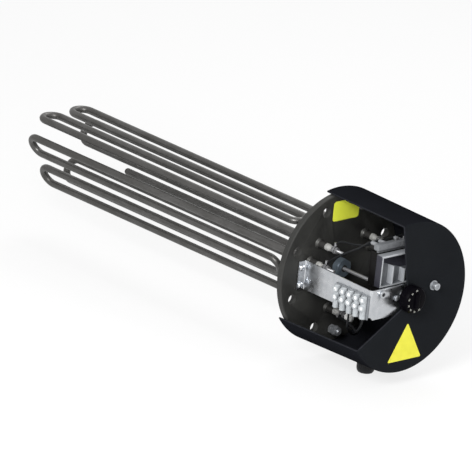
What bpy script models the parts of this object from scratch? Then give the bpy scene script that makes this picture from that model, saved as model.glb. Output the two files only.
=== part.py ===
"""Flanged immersion heating element with its terminal hood cut open, as a display model.

Three W-shaped sheathed elements and a sensor pocket stand on the back of a round steel flange.
On its front a bridge bracket carries the rod thermostat and a terminal block, and a hood covers
them. The origin is the centre of the flange's sealing face. +Y points along the elements into the
tank, +Z is up, and +X is to the right for someone who faces the hood.

Pieces are modelled in the flange's front frame: x to the right, y up, and z the distance in front
of the flange's front face. One empty turns that frame into the part's own.
"""

import math

import bmesh
import bpy
from mathutils import Matrix, Vector

MM = 0.001
GAP = 0.3 * MM  # between pieces that touch

# Flange
FLANGE_THICKNESS = 8 * MM
FLANGE_CHAMFER = 0.8 * MM
BOLT_COUNT = 8
BOLT_CIRCLE_RADIUS = 75 * MM
BOLT_EDGE = 15 * MM  # from the bolt circle to the rim
BOLT_HOLE_RADIUS = 6 * MM
FIRST_BOLT_DEG = 22.5
TAPPED_DEPTH = 6 * MM

# Heating elements: four legs side by side in a plane, two bends at the tips and one at the root
TOP_ELEMENT_DEG = 90
LEFT_ELEMENT_DEG = 210
RIGHT_ELEMENT_DEG = 334
ELEMENT_PLANE_DISTANCE = 34 * MM
ROD_RADIUS = 4.25 * MM
INNER_LEG_OFFSET = 11.2 * MM
OUTER_LEG_OFFSET = 35.8 * MM
TIP_BEND_DEPTH = 450 * MM  # from the sealing face to the centres of the tip bends
ROOT_BEND_DEPTH = 68 * MM
COLD_END = 12 * MM  # rod in front of the flange

# Terminals on the cold ends
PIN_RADIUS = 1.5 * MM
PIN_INSERTION = 9 * MM
INSULATOR_RADIUS = 4.2 * MM
INSULATOR_LENGTH = 9.7 * MM
THREAD_RADIUS = 2.0 * MM
THREAD_LENGTH = 17.5 * MM
TERMINAL_NUT_RADIUS = 4.05 * MM
TERMINAL_NUT_HEIGHT = 3.0 * MM
RING_THICKNESS = 1.0 * MM
RING_RADIUS = 4.4 * MM

# Sensor pocket
POCKET_RADIUS = 4 * MM
POCKET_WALL = 0.75 * MM
POCKET_DEPTH = 348 * MM
POCKET_BOSS_RADIUS = 12 * MM
POCKET_BOSS_HEIGHT = 9 * MM
STEM_RADIUS = 2.2 * MM
STEM_DEPTH = 325 * MM

# Bridge bracket
SHEET = 1.5 * MM
BRIDGE_REACH = 109.6 * MM  # to the front of its plate
LEG_CLEARANCE = 2.46 * MM  # between the outermost bead and the bracket's leg
BRIDGE_TOP = 15 * MM
LEG_TOP = 17 * MM  # at the foot; it falls to the plate
BRIDGE_BOTTOM = -21 * MM
LEG_BOTTOM = -17.5 * MM
FOOT_WIDTH = 10.5 * MM
FOOT_BEND = 2.5 * MM
PLATE_BEND = 3.0 * MM
FOOT_SCREW_INSET = 4.5 * MM  # from the foot's end
FOOT_SCREW_HEIGHTS = (9 * MM, -12 * MM)
FOOT_SCREW_RADIUS = 2.0 * MM

# Thermostat
BODY_DEPTH = 27.8 * MM
BODY_HALF_WIDTH = 34 * MM
BODY_NECK_HALF_WIDTH = 28 * MM
BODY_TOP = 51.5 * MM
BODY_BOTTOM = -16 * MM
BODY_STEP_HEIGHT = 12.9 * MM
COVER_HALF_WIDTH = 38 * MM
COVER_SET_BACK = 4 * MM
COVER_DEPTH = 9.5 * MM
COVER_WALL = 2.2 * MM
COVER_CHAMBERS = 4
COVER_HEADROOM = 8.5 * MM  # above the ribs
STRIP_HEIGHT = 7.4 * MM
STRIP_DEPTH = 8 * MM
STRIP_SET_BACK = 8 * MM
STRIP_LIFT = 3.8 * MM
SOCKET_OFFSETS = (-30 * MM, -18 * MM, -6 * MM, 6 * MM, 18 * MM, 30 * MM)
SOCKET_DEPTH = 4 * MM
TAB_WIDTH = 5 * MM
TAB_HEIGHT = 3.5 * MM
TAB_THICKNESS = 0.8 * MM
THERMOSTAT_SCREW_SPACING = 28 * MM
THERMOSTAT_SCREW_RADIUS = 1.7 * MM
THERMOSTAT_SCREW_GRIP = 8 * MM

# Shaft and knob
SHAFT_RADIUS = 3 * MM
SHAFT_FLAT = 2.2 * MM
SHAFT_INSERTION = 12 * MM
KNOB_RADIUS = 16 * MM
KNOB_HEIGHT = 13 * MM
KNOB_GAP = 0.5 * MM
KNOB_FLUTES = 24
KNOB_FLUTE_DEPTH = 0.5 * MM
KNOB_GRIP_WIDTH = 6 * MM
KNOB_GRIP_HEIGHT = 2.5 * MM
KNOB_BORE_DEPTH = 11 * MM

# Terminal block
POLES = 5
POLE_PITCH = 10.9 * MM
BLOCK_TOP = 8.7 * MM
BLOCK_HEIGHT = 28.7 * MM
BLOCK_BASE = 1.7 * MM
BLOCK_FRONT_SET_BACK = 0.9 * MM
BARREL_RADIUS = 3.9 * MM
BARREL_INSET = 0.6 * MM  # from the base's edge
TURRET_RADIUS = 4.1 * MM
TURRET_HEIGHT = 4.4 * MM  # from the barrel's axis
TURRET_DROPS = (5.5 * MM, 15.2 * MM)  # from the block's top
CLAMP_RADIUS = 2.6 * MM
CLAMP_INSET = 4 * MM
CLAMP_SCREW_RADIUS = 2.4 * MM
CLAMP_SCREW_SINK = 0.5 * MM
SLOT_WIDTH = 0.7 * MM
WIRE_GRIP = 5 * MM

# Hood
HOOD_OVERHANG = 13 * MM  # its rim behind the flange's front face
HOOD_WALL = 2.0 * MM
HOOD_FACE_WALL = 2.2 * MM
HOOD_DRAFT_DEG = 0.9
HOOD_EDGE_RADIUS = 2.5 * MM
HOOD_SHAFT_HOLE = 5 * MM
CUT_START_DEG = 102
CUT_END_DEG = 216
CUT_DROP = 8.7 * MM  # how far below the axis the lower cut passes
HOOD_SCREW_X = 38 * MM
HOOD_SCREW_Y = 8.6 * MM
HOOD_SCREW_RADIUS = 2.0 * MM
HOOD_SCREW_HEAD_RADIUS = 4.3 * MM
HOOD_SCREW_HEAD_HEIGHT = 7.4 * MM
HOOD_SCREW_COLLAR_RADIUS = 5.8 * MM
HOOD_SCREW_COLLAR_HEIGHT = 1.3 * MM
HOOD_SCREW_GRIP = 9 * MM
INSERT_RADIUS = 4.4 * MM
INSERT_COLLAR = 2.1 * MM  # the hood's face rests on it
INSERT_SHANK = 2.9 * MM
INSERT_LENGTH = 6 * MM

# Cable gland under the hood
GLAND_POSITION = 60 * MM
GLAND_THREAD_RADIUS = 7.9 * MM
GLAND_HEX_RADIUS = 11 * MM
GLAND_HEX_HEIGHT = 4.5 * MM
GLAND_BORE = 5.2 * MM
GLAND_THREAD_BELOW = 7 * MM
GLAND_THREAD_ABOVE = 9 * MM
DOME_RADIUS = 10.5 * MM
DOME_HEIGHT = 11.5 * MM
DOME_HOLE = 4.8 * MM
SEAL_RADIUS = 6.2 * MM
SEAL_HOLE = 3.7 * MM
SEAL_SEAT = 5 * MM
LOCKNUT_RADIUS = 11.5 * MM
LOCKNUT_HEIGHT = 4.4 * MM

# Earth stud
EARTH_X = -2 * MM
EARTH_RADIUS = 3 * MM
EARTH_LENGTH = 15 * MM
EARTH_NUT_RADIUS = 5.8 * MM
EARTH_NUT_HEIGHT = 4.5 * MM
EARTH_NUT_SPACING = 7.5 * MM

# Wires
WIRE_RADIUS = 1.3 * MM
SLEEVE_RADIUS = 2.4 * MM
SLEEVE_LENGTH = 11 * MM
SLEEVE_STRAIGHT = 1 * MM  # of wire behind a sleeve
POLE_STRAIGHT = 6 * MM  # of wire below a pole
TONGUE_LENGTH = 2 * MM
WIRE_POINTS_PER_SPAN = 3

# What follows from the sizes above
ELEMENT_ANGLES = {"top": TOP_ELEMENT_DEG, "left": LEFT_ELEMENT_DEG, "right": RIGHT_ELEMENT_DEG}
FLANGE_RADIUS = BOLT_CIRCLE_RADIUS + BOLT_EDGE
EARTH_Y = -BOLT_CIRCLE_RADIUS
PLATE_REAR = BRIDGE_REACH - SHEET
OUTERMOST_TERMINAL_X = (
    OUTER_LEG_OFFSET * math.sin(math.radians(LEFT_ELEMENT_DEG - 180))
    + ELEMENT_PLANE_DISTANCE * math.cos(math.radians(LEFT_ELEMENT_DEG - 180))
)
BRIDGE_HALF_WIDTH = OUTERMOST_TERMINAL_X + INSULATOR_RADIUS + LEG_CLEARANCE + SHEET
FOOT_REACH = BRIDGE_HALF_WIDTH + FOOT_WIDTH
FOOT_SCREW_X = FOOT_REACH - FOOT_SCREW_INSET
HOOD_REACH = BRIDGE_REACH + GAP + INSERT_COLLAR + GAP + HOOD_FACE_WALL
BODY_FRONT = PLATE_REAR - GAP
BODY_REAR = BODY_FRONT - BODY_DEPTH
COVER_FRONT = BODY_FRONT - COVER_SET_BACK
COVER_REAR = COVER_FRONT - COVER_DEPTH
BODY_SHELF = COVER_REAR - GAP
STRIP_FRONT = COVER_FRONT - STRIP_SET_BACK
STRIP_BOTTOM = BODY_TOP + STRIP_LIFT
KNOB_BASE = HOOD_REACH + KNOB_GAP
INSULATOR_FRONT = COLD_END + GAP + INSULATOR_LENGTH
RING_FRONT = INSULATOR_FRONT + GAP + TERMINAL_NUT_HEIGHT + GAP + RING_THICKNESS
RING_MIDDLE = RING_FRONT - RING_THICKNESS / 2
BLOCK_FRONT = BRIDGE_REACH - BLOCK_FRONT_SET_BACK
BLOCK_BOTTOM = BLOCK_TOP - BLOCK_HEIGHT
BARREL_AXIS_X = -(BRIDGE_HALF_WIDTH + GAP + BARREL_RADIUS)
TURRET_FACE_X = BARREL_AXIS_X - TURRET_HEIGHT
TURRET_PLACES = [BLOCK_TOP - drop for drop in TURRET_DROPS]


class Finish:
    """The colours of the object, as red, green, blue, roughness and metallic value."""

    black_paint = (0.012, 0.013, 0.015, 0.42, 0.0)
    black_plastic = (0.010, 0.011, 0.014, 0.38, 0.0)
    oxidised_steel = (0.10, 0.098, 0.095, 0.45, 0.8)
    zinc = (0.72, 0.73, 0.74, 0.32, 1.0)
    nickel = (0.75, 0.72, 0.66, 0.25, 1.0)
    ceramic = (0.80, 0.78, 0.72, 0.5, 0.0)
    bakelite = (0.015, 0.014, 0.014, 0.45, 0.0)
    grey_moulding = (0.36, 0.37, 0.37, 0.45, 0.0)
    pale_moulding = (0.62, 0.64, 0.64, 0.5, 0.0)
    rubber = (0.02, 0.02, 0.02, 0.8, 0.0)
    wire_grey = (0.22, 0.22, 0.22, 0.55, 0.0)


def material(name):
    """The named finish as a material, made once."""
    found = bpy.data.materials.get(name)
    if found:
        return found
    red, green, blue, roughness, metallic = getattr(Finish, name)
    made = bpy.data.materials.new(name)
    made.use_nodes = True
    shader = made.node_tree.nodes["Principled BSDF"]
    shader.inputs["Base Color"].default_value = (red, green, blue, 1)
    shader.inputs["Roughness"].default_value = roughness
    shader.inputs["Metallic"].default_value = metallic
    made.diffuse_color = (red, green, blue, 1)
    return made


def make_collection(name):
    made = bpy.data.collections.new(name)
    bpy.context.scene.collection.children.link(made)
    return made


def clear_scene():
    for old in list(bpy.data.objects):
        bpy.data.objects.remove(old)


class Workshop:
    """Holds the collections and the front frame while the pieces are made."""

    def __init__(self):
        self.pieces = make_collection("heating_element")
        self.cutters = make_collection("cutters")
        self.front = bpy.data.objects.new("front_frame", None)
        self.front.location = (0, -FLANGE_THICKNESS, 0)
        self.front.rotation_euler = (math.pi / 2, 0, 0)
        self.pieces.objects.link(self.front)

    def place(self, name, mesh, finish, location=(0, 0, 0), rotation=(0, 0, 0)):
        """Adds a piece in the front frame."""
        made = bpy.data.objects.new(name, mesh)
        made.parent = self.front
        made.location = location
        made.rotation_euler = rotation
        mesh.materials.append(material(finish))
        self.pieces.objects.link(made)
        return made

    def change(self, piece, operation, meshes):
        """Cuts the meshes from the piece, or joins them to it, one Boolean for each."""
        for number, mesh in enumerate(meshes):
            tool = bpy.data.objects.new(f"{piece.name}_{operation.lower()}_{number}", mesh)
            tool.parent = piece
            tool.hide_render = True
            tool.display_type = "WIRE"
            self.cutters.objects.link(tool)
            step = piece.modifiers.new(f"{operation.lower()}_{number}", "BOOLEAN")
            step.operation = operation
            step.solver = "EXACT"
            step.object = tool

    def cut(self, piece, *meshes):
        self.change(piece, "DIFFERENCE", meshes)

    def join(self, piece, *meshes):
        self.change(piece, "UNION", meshes)


def to_mesh(shape, name):
    """The bmesh as a mesh, shaded smooth but for its sharp edges."""
    mesh = bpy.data.meshes.new(name)
    bmesh.ops.recalc_face_normals(shape, faces=shape.faces)
    shape.to_mesh(mesh)
    shape.free()
    mesh.shade_smooth()
    mesh.set_sharp_from_angle(angle=math.radians(35))
    return mesh


def cylinder(radius, start, end, centre=(0, 0), segments=24, along="z", name="cylinder"):
    """A closed cylinder from start to end along one axis; centre gives its other two coordinates."""
    shape = bmesh.new()
    add_cylinder(shape, radius, start, end, centre, segments, along)
    return to_mesh(shape, name)


def add_cylinder(shape, radius, start, end, centre, segments, along):
    middle = (start + end) / 2
    if along == "z":
        matrix = Matrix.Translation((centre[0], centre[1], middle))
    elif along == "x":
        matrix = Matrix.Translation((middle, centre[0], centre[1])) @ Matrix.Rotation(math.pi / 2, 4, "Y")
    else:
        matrix = Matrix.Translation((centre[0], middle, centre[1])) @ Matrix.Rotation(math.pi / 2, 4, "X")
    bmesh.ops.create_cone(
        shape,
        cap_ends=True,
        segments=segments,
        radius1=radius,
        radius2=radius,
        depth=end - start,
        matrix=matrix,
    )


def cylinders(radius, start, end, centres, segments=24, along="z", name="cylinders"):
    """Several like cylinders that don't meet, as one cutter."""
    shape = bmesh.new()
    for centre in centres:
        add_cylinder(shape, radius, start, end, centre, segments, along)
    return to_mesh(shape, name)


def block(low, high, bevel=0.0, segments=2, name="block"):
    """A box between two corners, with its edges rounded."""
    low, high = Vector(low), Vector(high)
    shape = bmesh.new()
    size = high - low
    matrix = Matrix.Translation((low + high) / 2) @ Matrix.Diagonal((*size, 1))
    bmesh.ops.create_cube(shape, size=1, matrix=matrix)
    if bevel:
        bmesh.ops.bevel(
            shape, geom=shape.edges[:], offset=bevel, segments=segments, profile=0.5, affect="EDGES"
        )
    return to_mesh(shape, name)


def extruded(outline, start, end, along="z", name="extruded"):
    """A closed outline of 2D points, made solid between two places along an axis."""
    order = {"z": lambda u, v, w: (u, v, w), "x": lambda u, v, w: (w, u, v)}[along]
    shape = bmesh.new()
    corners = [shape.verts.new(order(u, v, start)) for u, v in outline]
    face = shape.faces.new(corners)
    grown = bmesh.ops.extrude_face_region(shape, geom=[face])
    moved = [part for part in grown["geom"] if isinstance(part, bmesh.types.BMVert)]
    step = Vector(order(0, 0, end - start))
    bmesh.ops.translate(shape, verts=moved, vec=step)
    return to_mesh(shape, name)


def polygon(radius, sides, turn=0.0):
    """The corners of a regular polygon."""
    angles = [turn + 2 * math.pi * k / sides for k in range(sides)]
    return [(radius * math.cos(angle), radius * math.sin(angle)) for angle in angles]


def arc(centre, radius, start_deg, end_deg, steps):
    """Points along an arc, both ends included."""
    angles = [math.radians(start_deg + (end_deg - start_deg) * k / steps) for k in range(steps + 1)]
    return [(centre[0] + radius * math.cos(a), centre[1] + radius * math.sin(a)) for a in angles]


def turn_profile(piece, segments):
    """Spins the piece's profile, which lies in its XZ plane, about its Z axis."""
    spin = piece.modifiers.new("turn", "SCREW")
    spin.steps = segments
    spin.render_steps = segments
    spin.use_merge_vertices = True
    spin.merge_threshold = 0.00001
    spin.use_smooth_shade = True


def profile_mesh(points, closed, name):
    """A profile of (radius, height) points. At +X it runs down the outer side."""
    mesh = bpy.data.meshes.new(name)
    count = len(points)
    edges = [(k, k + 1) for k in range(count - 1)]
    if closed:
        edges.append((count - 1, 0))
    mesh.from_pydata([(radius, 0, height) for radius, height in points], edges, [])
    return mesh


def solid_of_turn(points, segments, name="turned"):
    """A closed turned solid as a mesh, for use in a Boolean. Points run down the outer side."""
    shape = bmesh.new()
    corners = [shape.verts.new((radius, 0, height)) for radius, height in points]
    edges = [shape.edges.new(pair) for pair in zip(corners, corners[1:])]
    if points[0][0] > 0:
        edges.append(shape.edges.new((corners[-1], corners[0])))
    bmesh.ops.spin(
        shape,
        geom=corners + edges,
        axis=(0, 0, 1),
        cent=(0, 0, 0),
        angle=2 * math.pi,
        steps=segments,
        use_duplicate=False,
    )
    bmesh.ops.remove_doubles(shape, verts=shape.verts, dist=0.00001)
    return to_mesh(shape, name)


def tube_mesh(points, radius, name, resolution=4):
    """A round bar along the points, as one closed mesh."""
    curve = bpy.data.curves.new(name, "CURVE")
    curve.dimensions = "3D"
    curve.bevel_depth = radius
    curve.bevel_resolution = resolution
    curve.use_fill_caps = True
    spline = curve.splines.new("POLY")
    spline.points.add(len(points) - 1)
    for point, place in zip(spline.points, points):
        point.co = (*place, 1)
    guide = bpy.data.objects.new(name, curve)
    bpy.context.scene.collection.objects.link(guide)
    graph = bpy.context.evaluated_depsgraph_get()
    mesh = bpy.data.meshes.new_from_object(guide.evaluated_get(graph))
    bpy.data.objects.remove(guide)
    shape = bmesh.new()
    shape.from_mesh(mesh)
    bpy.data.meshes.remove(mesh)
    bmesh.ops.remove_doubles(shape, verts=shape.verts, dist=0.00001)
    return to_mesh(shape, name)


def smooth_route(points, per_span):
    """Points on a smooth curve through the route's own points (Catmull-Rom)."""
    ends = [points[0] * 2 - points[1]] + points + [points[-1] * 2 - points[-2]]
    route = []
    for before, start, end, after in zip(ends, ends[1:], ends[2:], ends[3:]):
        for k in range(per_span):
            t = k / per_span
            route.append(
                0.5
                * (
                    2 * start
                    + (end - before) * t
                    + (2 * before - 5 * start + 4 * end - after) * t * t
                    + (3 * start - before - 3 * end + after) * t * t * t
                )
            )
    route.append(points[-1])
    return route


def leg_place(side, offset):
    """(x, y) of an element's leg at an offset along its plane."""
    angle = math.radians(ELEMENT_ANGLES[side])
    out = Vector((math.cos(angle), math.sin(angle)))
    along = Vector((-math.sin(angle), math.cos(angle)))
    return out * ELEMENT_PLANE_DISTANCE + along * offset


def cold_ends():
    """Name and (x, y) of each place where a rod comes through the flange."""
    return {
        f"{side}_{end}": leg_place(side, sign * OUTER_LEG_OFFSET)
        for side in ELEMENT_ANGLES
        for end, sign in (("a", -1), ("b", 1))
    }


def foot_screws():
    return [(side * FOOT_SCREW_X, height) for side in (-1, 1) for height in FOOT_SCREW_HEIGHTS]


def depth(from_sealing_face):
    """A distance behind the sealing face, in the front frame."""
    return -FLANGE_THICKNESS - from_sealing_face


def make_flange(shop):
    """A steel disc with bolt holes, a bore for each rod, and blind tapped holes in front."""
    outline = [
        (0, 0),
        (FLANGE_RADIUS - FLANGE_CHAMFER, 0),
        (FLANGE_RADIUS, -FLANGE_CHAMFER),
        (FLANGE_RADIUS, -FLANGE_THICKNESS + FLANGE_CHAMFER),
        (FLANGE_RADIUS - FLANGE_CHAMFER, -FLANGE_THICKNESS),
        (0, -FLANGE_THICKNESS),
    ]
    flange = shop.place("flange", solid_of_turn(outline, 72), "black_paint")
    beyond = FLANGE_THICKNESS
    turn = math.radians(FIRST_BOLT_DEG)
    bolts = polygon(BOLT_CIRCLE_RADIUS, BOLT_COUNT, turn)
    rods = list(cold_ends().values())
    through = (-FLANGE_THICKNESS - beyond, beyond)
    shop.cut(
        flange,
        cylinders(BOLT_HOLE_RADIUS, *through, bolts, segments=20),
        cylinders(ROD_RADIUS + GAP, *through, rods, segments=12),
        cylinder(POCKET_RADIUS + GAP, *through, segments=16),
        cylinders(FOOT_SCREW_RADIUS + GAP, -TAPPED_DEPTH, beyond, foot_screws(), segments=10),
        cylinder(EARTH_RADIUS + GAP, -TAPPED_DEPTH, beyond, (EARTH_X, EARTH_Y), segments=12),
    )


def element_path():
    """Offset along the element's plane and height in the front frame, along the bent rod."""
    tip = depth(TIP_BEND_DEPTH)
    root = depth(ROOT_BEND_DEPTH)
    tip_centre = (INNER_LEG_OFFSET + OUTER_LEG_OFFSET) / 2
    tip_radius = (OUTER_LEG_OFFSET - INNER_LEG_OFFSET) / 2
    path = [(-OUTER_LEG_OFFSET, COLD_END)]
    path += arc((-tip_centre, tip), tip_radius, 180, 360, 8)
    path += arc((0, root), INNER_LEG_OFFSET, 180, 0, 8)
    path += arc((tip_centre, tip), tip_radius, 180, 360, 8)
    path.append((OUTER_LEG_OFFSET, COLD_END))
    return path


def make_element(shop, side):
    """One rod bent into a W, with a hole in each end for its terminal pin."""
    points = []
    for offset, height in element_path():
        x, y = leg_place(side, offset)
        points.append((x, y, height))
    element = shop.place(f"heating_element_{side}", tube_mesh(points, ROD_RADIUS, side), "oxidised_steel")
    ends = [leg_place(side, sign * OUTER_LEG_OFFSET) for sign in (-1, 1)]
    bottom = COLD_END - PIN_INSERTION - GAP
    shop.cut(element, cylinders(PIN_RADIUS + GAP, bottom, COLD_END + PIN_INSERTION, ends, segments=8))


def make_terminal(shop, end, place):
    """The ceramic bead on a cold end, and the threaded pin with its two nuts."""
    rear = COLD_END + GAP
    step = INSULATOR_RADIUS * 0.75
    bead = [
        (step, INSULATOR_FRONT),
        (step, INSULATOR_FRONT - INSULATOR_LENGTH / 3),
        (INSULATOR_RADIUS, INSULATOR_FRONT - INSULATOR_LENGTH / 2),
        (INSULATOR_RADIUS, rear),
        (PIN_RADIUS + GAP, rear),
        (PIN_RADIUS + GAP, INSULATOR_FRONT),
    ]
    insulator = shop.place(
        f"insulator_{end}", profile_mesh(bead, True, "insulator"), "ceramic", (*place, 0)
    )
    turn_profile(insulator, 14)
    shoulder = INSULATOR_FRONT + GAP
    stud = shop.place(
        f"terminal_stud_{end}",
        cylinder(PIN_RADIUS, COLD_END - PIN_INSERTION, shoulder + TERMINAL_NUT_HEIGHT / 2, segments=8),
        "nickel",
        (*place, 0),
    )
    nut = polygon(TERMINAL_NUT_RADIUS, 6)
    outer_nut = RING_FRONT + GAP
    shop.join(
        stud,
        extruded(nut, shoulder, shoulder + TERMINAL_NUT_HEIGHT),
        cylinder(THREAD_RADIUS, shoulder + GAP, shoulder + THREAD_LENGTH, segments=10),
        extruded(nut, outer_nut, outer_nut + TERMINAL_NUT_HEIGHT),
    )


def make_pocket(shop):
    """A blind tube along the axis, its hexagonal boss, and the thermostat's stem inside it."""
    mouth = POCKET_BOSS_HEIGHT + GAP
    end = depth(POCKET_DEPTH)
    bore = POCKET_RADIUS - POCKET_WALL
    outline = [
        (bore, mouth),
        (POCKET_RADIUS, mouth),
        (POCKET_RADIUS, end + POCKET_RADIUS),
        (POCKET_RADIUS * 0.7, end + POCKET_RADIUS * 0.3),
        (0, end),
    ]
    outline += [(0, end + POCKET_WALL), (bore * 0.7, end + POCKET_RADIUS * 0.3 + POCKET_WALL)]
    outline += [(bore, end + POCKET_RADIUS)]
    pocket = shop.place("sensor_pocket", profile_mesh(outline, True, "sensor_pocket"), "oxidised_steel")
    turn_profile(pocket, 16)
    boss = shop.place(
        "pocket_boss", extruded(polygon(POCKET_BOSS_RADIUS, 6), GAP, POCKET_BOSS_HEIGHT), "zinc"
    )
    shop.cut(boss, cylinder(POCKET_RADIUS + GAP, -mouth, 2 * mouth, segments=16))
    stem_front = BODY_REAR + SOCKET_DEPTH
    shop.place(
        "thermostat_stem",
        cylinder(STEM_RADIUS, depth(STEM_DEPTH), stem_front, segments=12),
        "nickel",
    )


def bridge_path():
    """Middle line of the bracket's sheet, as (x, height) from the left foot to the right one."""
    half = SHEET / 2
    foot = GAP + half
    plate = BRIDGE_REACH - half
    leg = BRIDGE_HALF_WIDTH - half
    left = [(-FOOT_REACH, foot)]
    left += arc((-leg - FOOT_BEND, foot + FOOT_BEND), FOOT_BEND, -90, 0, 4)
    left += arc((-leg + PLATE_BEND, plate - PLATE_BEND), PLATE_BEND, 180, 90, 4)
    return left + [(-x, height) for x, height in reversed(left)]


def make_bracket(shop):
    """A strip of sheet steel bent into a bridge, wider at its plate than at its legs."""
    shape = bmesh.new()
    lower = [shape.verts.new((x, BRIDGE_BOTTOM, height)) for x, height in bridge_path()]
    upper = [shape.verts.new((x, LEG_TOP, height)) for x, height in bridge_path()]
    for k in range(len(lower) - 1):
        shape.faces.new((lower[k], lower[k + 1], upper[k + 1], upper[k]))
    bracket = shop.place("bridge_bracket", to_mesh(shape, "bridge_bracket"), "zinc")
    wall = bracket.modifiers.new("sheet", "SOLIDIFY")
    wall.thickness = SHEET
    wall.offset = 0
    drop = LEG_BOTTOM - BRIDGE_BOTTOM
    corner = BRIDGE_HALF_WIDTH - PLATE_BEND - 2 * SHEET
    beyond = FOOT_REACH + SHEET
    ahead = BRIDGE_REACH + SHEET
    reliefs = []
    for side in (-1, 1):
        outline = [
            (side * corner, BRIDGE_BOTTOM - drop),
            (side * corner, BRIDGE_BOTTOM),
            (side * (corner + drop), LEG_BOTTOM),
            (side * beyond, LEG_BOTTOM),
            (side * beyond, BRIDGE_BOTTOM - drop),
        ]
        reliefs.append(extruded(outline, -SHEET, ahead))
    slope = [
        (BRIDGE_TOP, ahead),
        (BRIDGE_TOP, PLATE_REAR),
        (LEG_TOP, 0),
        (LEG_TOP + SHEET, 0),
        (LEG_TOP + SHEET, ahead),
    ]
    reliefs.append(extruded(slope, -beyond, beyond, along="x"))
    rivet_nuts = [(side * HOOD_SCREW_X, HOOD_SCREW_Y) for side in (-1, 1)]
    screws = [(side * THERMOSTAT_SCREW_SPACING / 2, 0) for side in (-1, 1)]
    foot = (-SHEET, 2 * SHEET + GAP)
    plate = (PLATE_REAR - SHEET, ahead)
    shop.cut(
        bracket,
        *reliefs,
        cylinders(FOOT_SCREW_RADIUS + GAP, *foot, foot_screws(), segments=12),
        cylinders(INSERT_SHANK + GAP, *plate, rivet_nuts, segments=14),
        cylinders(THERMOSTAT_SCREW_RADIUS + GAP, *plate, screws, segments=12),
        cylinder(SHAFT_RADIUS + 2 * SHEET, *plate, segments=20),
    )


def screw_profile(shank_radius, shank_length, head_radius, head_height):
    """A pan-head screw with its head's underside at height 0."""
    return [
        (0, head_height),
        (head_radius * 0.55, head_height * 0.93),
        (head_radius * 0.85, head_height * 0.65),
        (head_radius, 0.15 * head_height),
        (head_radius, 0),
        (shank_radius, 0),
        (shank_radius, -shank_length),
        (0, -shank_length),
    ]


def make_screw(shop, name, place, seat, sizes, segments=12):
    """A turned pan-head screw that enters backwards from its seat."""
    screw = shop.place(name, profile_mesh(screw_profile(*sizes), False, name), "zinc", (*place, seat))
    turn_profile(screw, segments)


def make_bracket_screws(shop):
    seat = GAP + SHEET + GAP
    length = seat + TAPPED_DEPTH - GAP
    sizes = (FOOT_SCREW_RADIUS, length, FOOT_SCREW_RADIUS * 2, FOOT_SCREW_RADIUS * 1.3)
    for number, place in enumerate(foot_screws(), 1):
        make_screw(shop, f"bracket_screw_{number}", place, seat, sizes)


def make_thermostat(shop):
    """The moulded body behind the bracket's plate, its chambered cover and its terminal strip."""
    bevel = 1.0 * MM
    body = shop.place(
        "thermostat_body",
        block(
            (-BODY_HALF_WIDTH, BODY_STEP_HEIGHT - 2 * bevel, BODY_REAR),
            (BODY_HALF_WIDTH, BODY_TOP, BODY_SHELF),
            bevel,
        ),
        "bakelite",
    )
    neck = block(
        (-BODY_NECK_HALF_WIDTH, BODY_BOTTOM, BODY_REAR + bevel),
        (BODY_NECK_HALF_WIDTH, BODY_STEP_HEIGHT, BODY_FRONT),
        bevel,
    )
    screws = [(side * THERMOSTAT_SCREW_SPACING / 2, 0) for side in (-1, 1)]
    shop.join(body, neck)
    shop.cut(
        body,
        cylinder(SHAFT_RADIUS + GAP, BODY_FRONT - SHAFT_INSERTION - GAP, BRIDGE_REACH, segments=20),
        cylinder(STEM_RADIUS + GAP, BODY_REAR - SOCKET_DEPTH, BODY_REAR + SOCKET_DEPTH + GAP, segments=16),
        cylinders(
            THERMOSTAT_SCREW_RADIUS + GAP,
            BODY_FRONT - THERMOSTAT_SCREW_GRIP - GAP,
            BRIDGE_REACH,
            screws,
            segments=12,
        ),
    )
    make_cover(shop)
    make_strip(shop)
    seat = BRIDGE_REACH + GAP
    length = seat - BODY_FRONT + THERMOSTAT_SCREW_GRIP
    head_height = INSERT_COLLAR - GAP
    sizes = (THERMOSTAT_SCREW_RADIUS, length, THERMOSTAT_SCREW_RADIUS * 2, head_height)
    for number, place in enumerate(screws, 1):
        make_screw(shop, f"thermostat_screw_{number}", place, seat, sizes)


def make_cover(shop):
    """A grey cover over the thermostat's upper half, open in front, with ribs below its headroom."""
    bottom = BODY_STEP_HEIGHT + 2 * GAP
    cover = shop.place(
        "thermostat_cover",
        block(
            (-COVER_HALF_WIDTH, bottom, COVER_REAR), (COVER_HALF_WIDTH, BODY_TOP, COVER_FRONT), 0.6 * MM
        ),
        "grey_moulding",
    )
    pitch = (2 * COVER_HALF_WIDTH - COVER_WALL) / COVER_CHAMBERS
    hollows = []
    for k in range(COVER_CHAMBERS):
        left = -COVER_HALF_WIDTH + COVER_WALL + k * pitch
        hollows.append(
            block(
                (left, bottom + COVER_WALL, COVER_REAR + COVER_WALL),
                (left + pitch - COVER_WALL, BODY_TOP - COVER_HEADROOM, COVER_FRONT + COVER_WALL),
                0.8 * MM,
                1,
            )
        )
    half = COVER_HALF_WIDTH - COVER_WALL
    hollows.append(
        block(
            (-half, BODY_TOP - COVER_HEADROOM - COVER_WALL, COVER_REAR + COVER_WALL),
            (half, BODY_TOP - COVER_WALL, COVER_FRONT + COVER_WALL),
        )
    )
    shop.cut(cover, *hollows)


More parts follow.
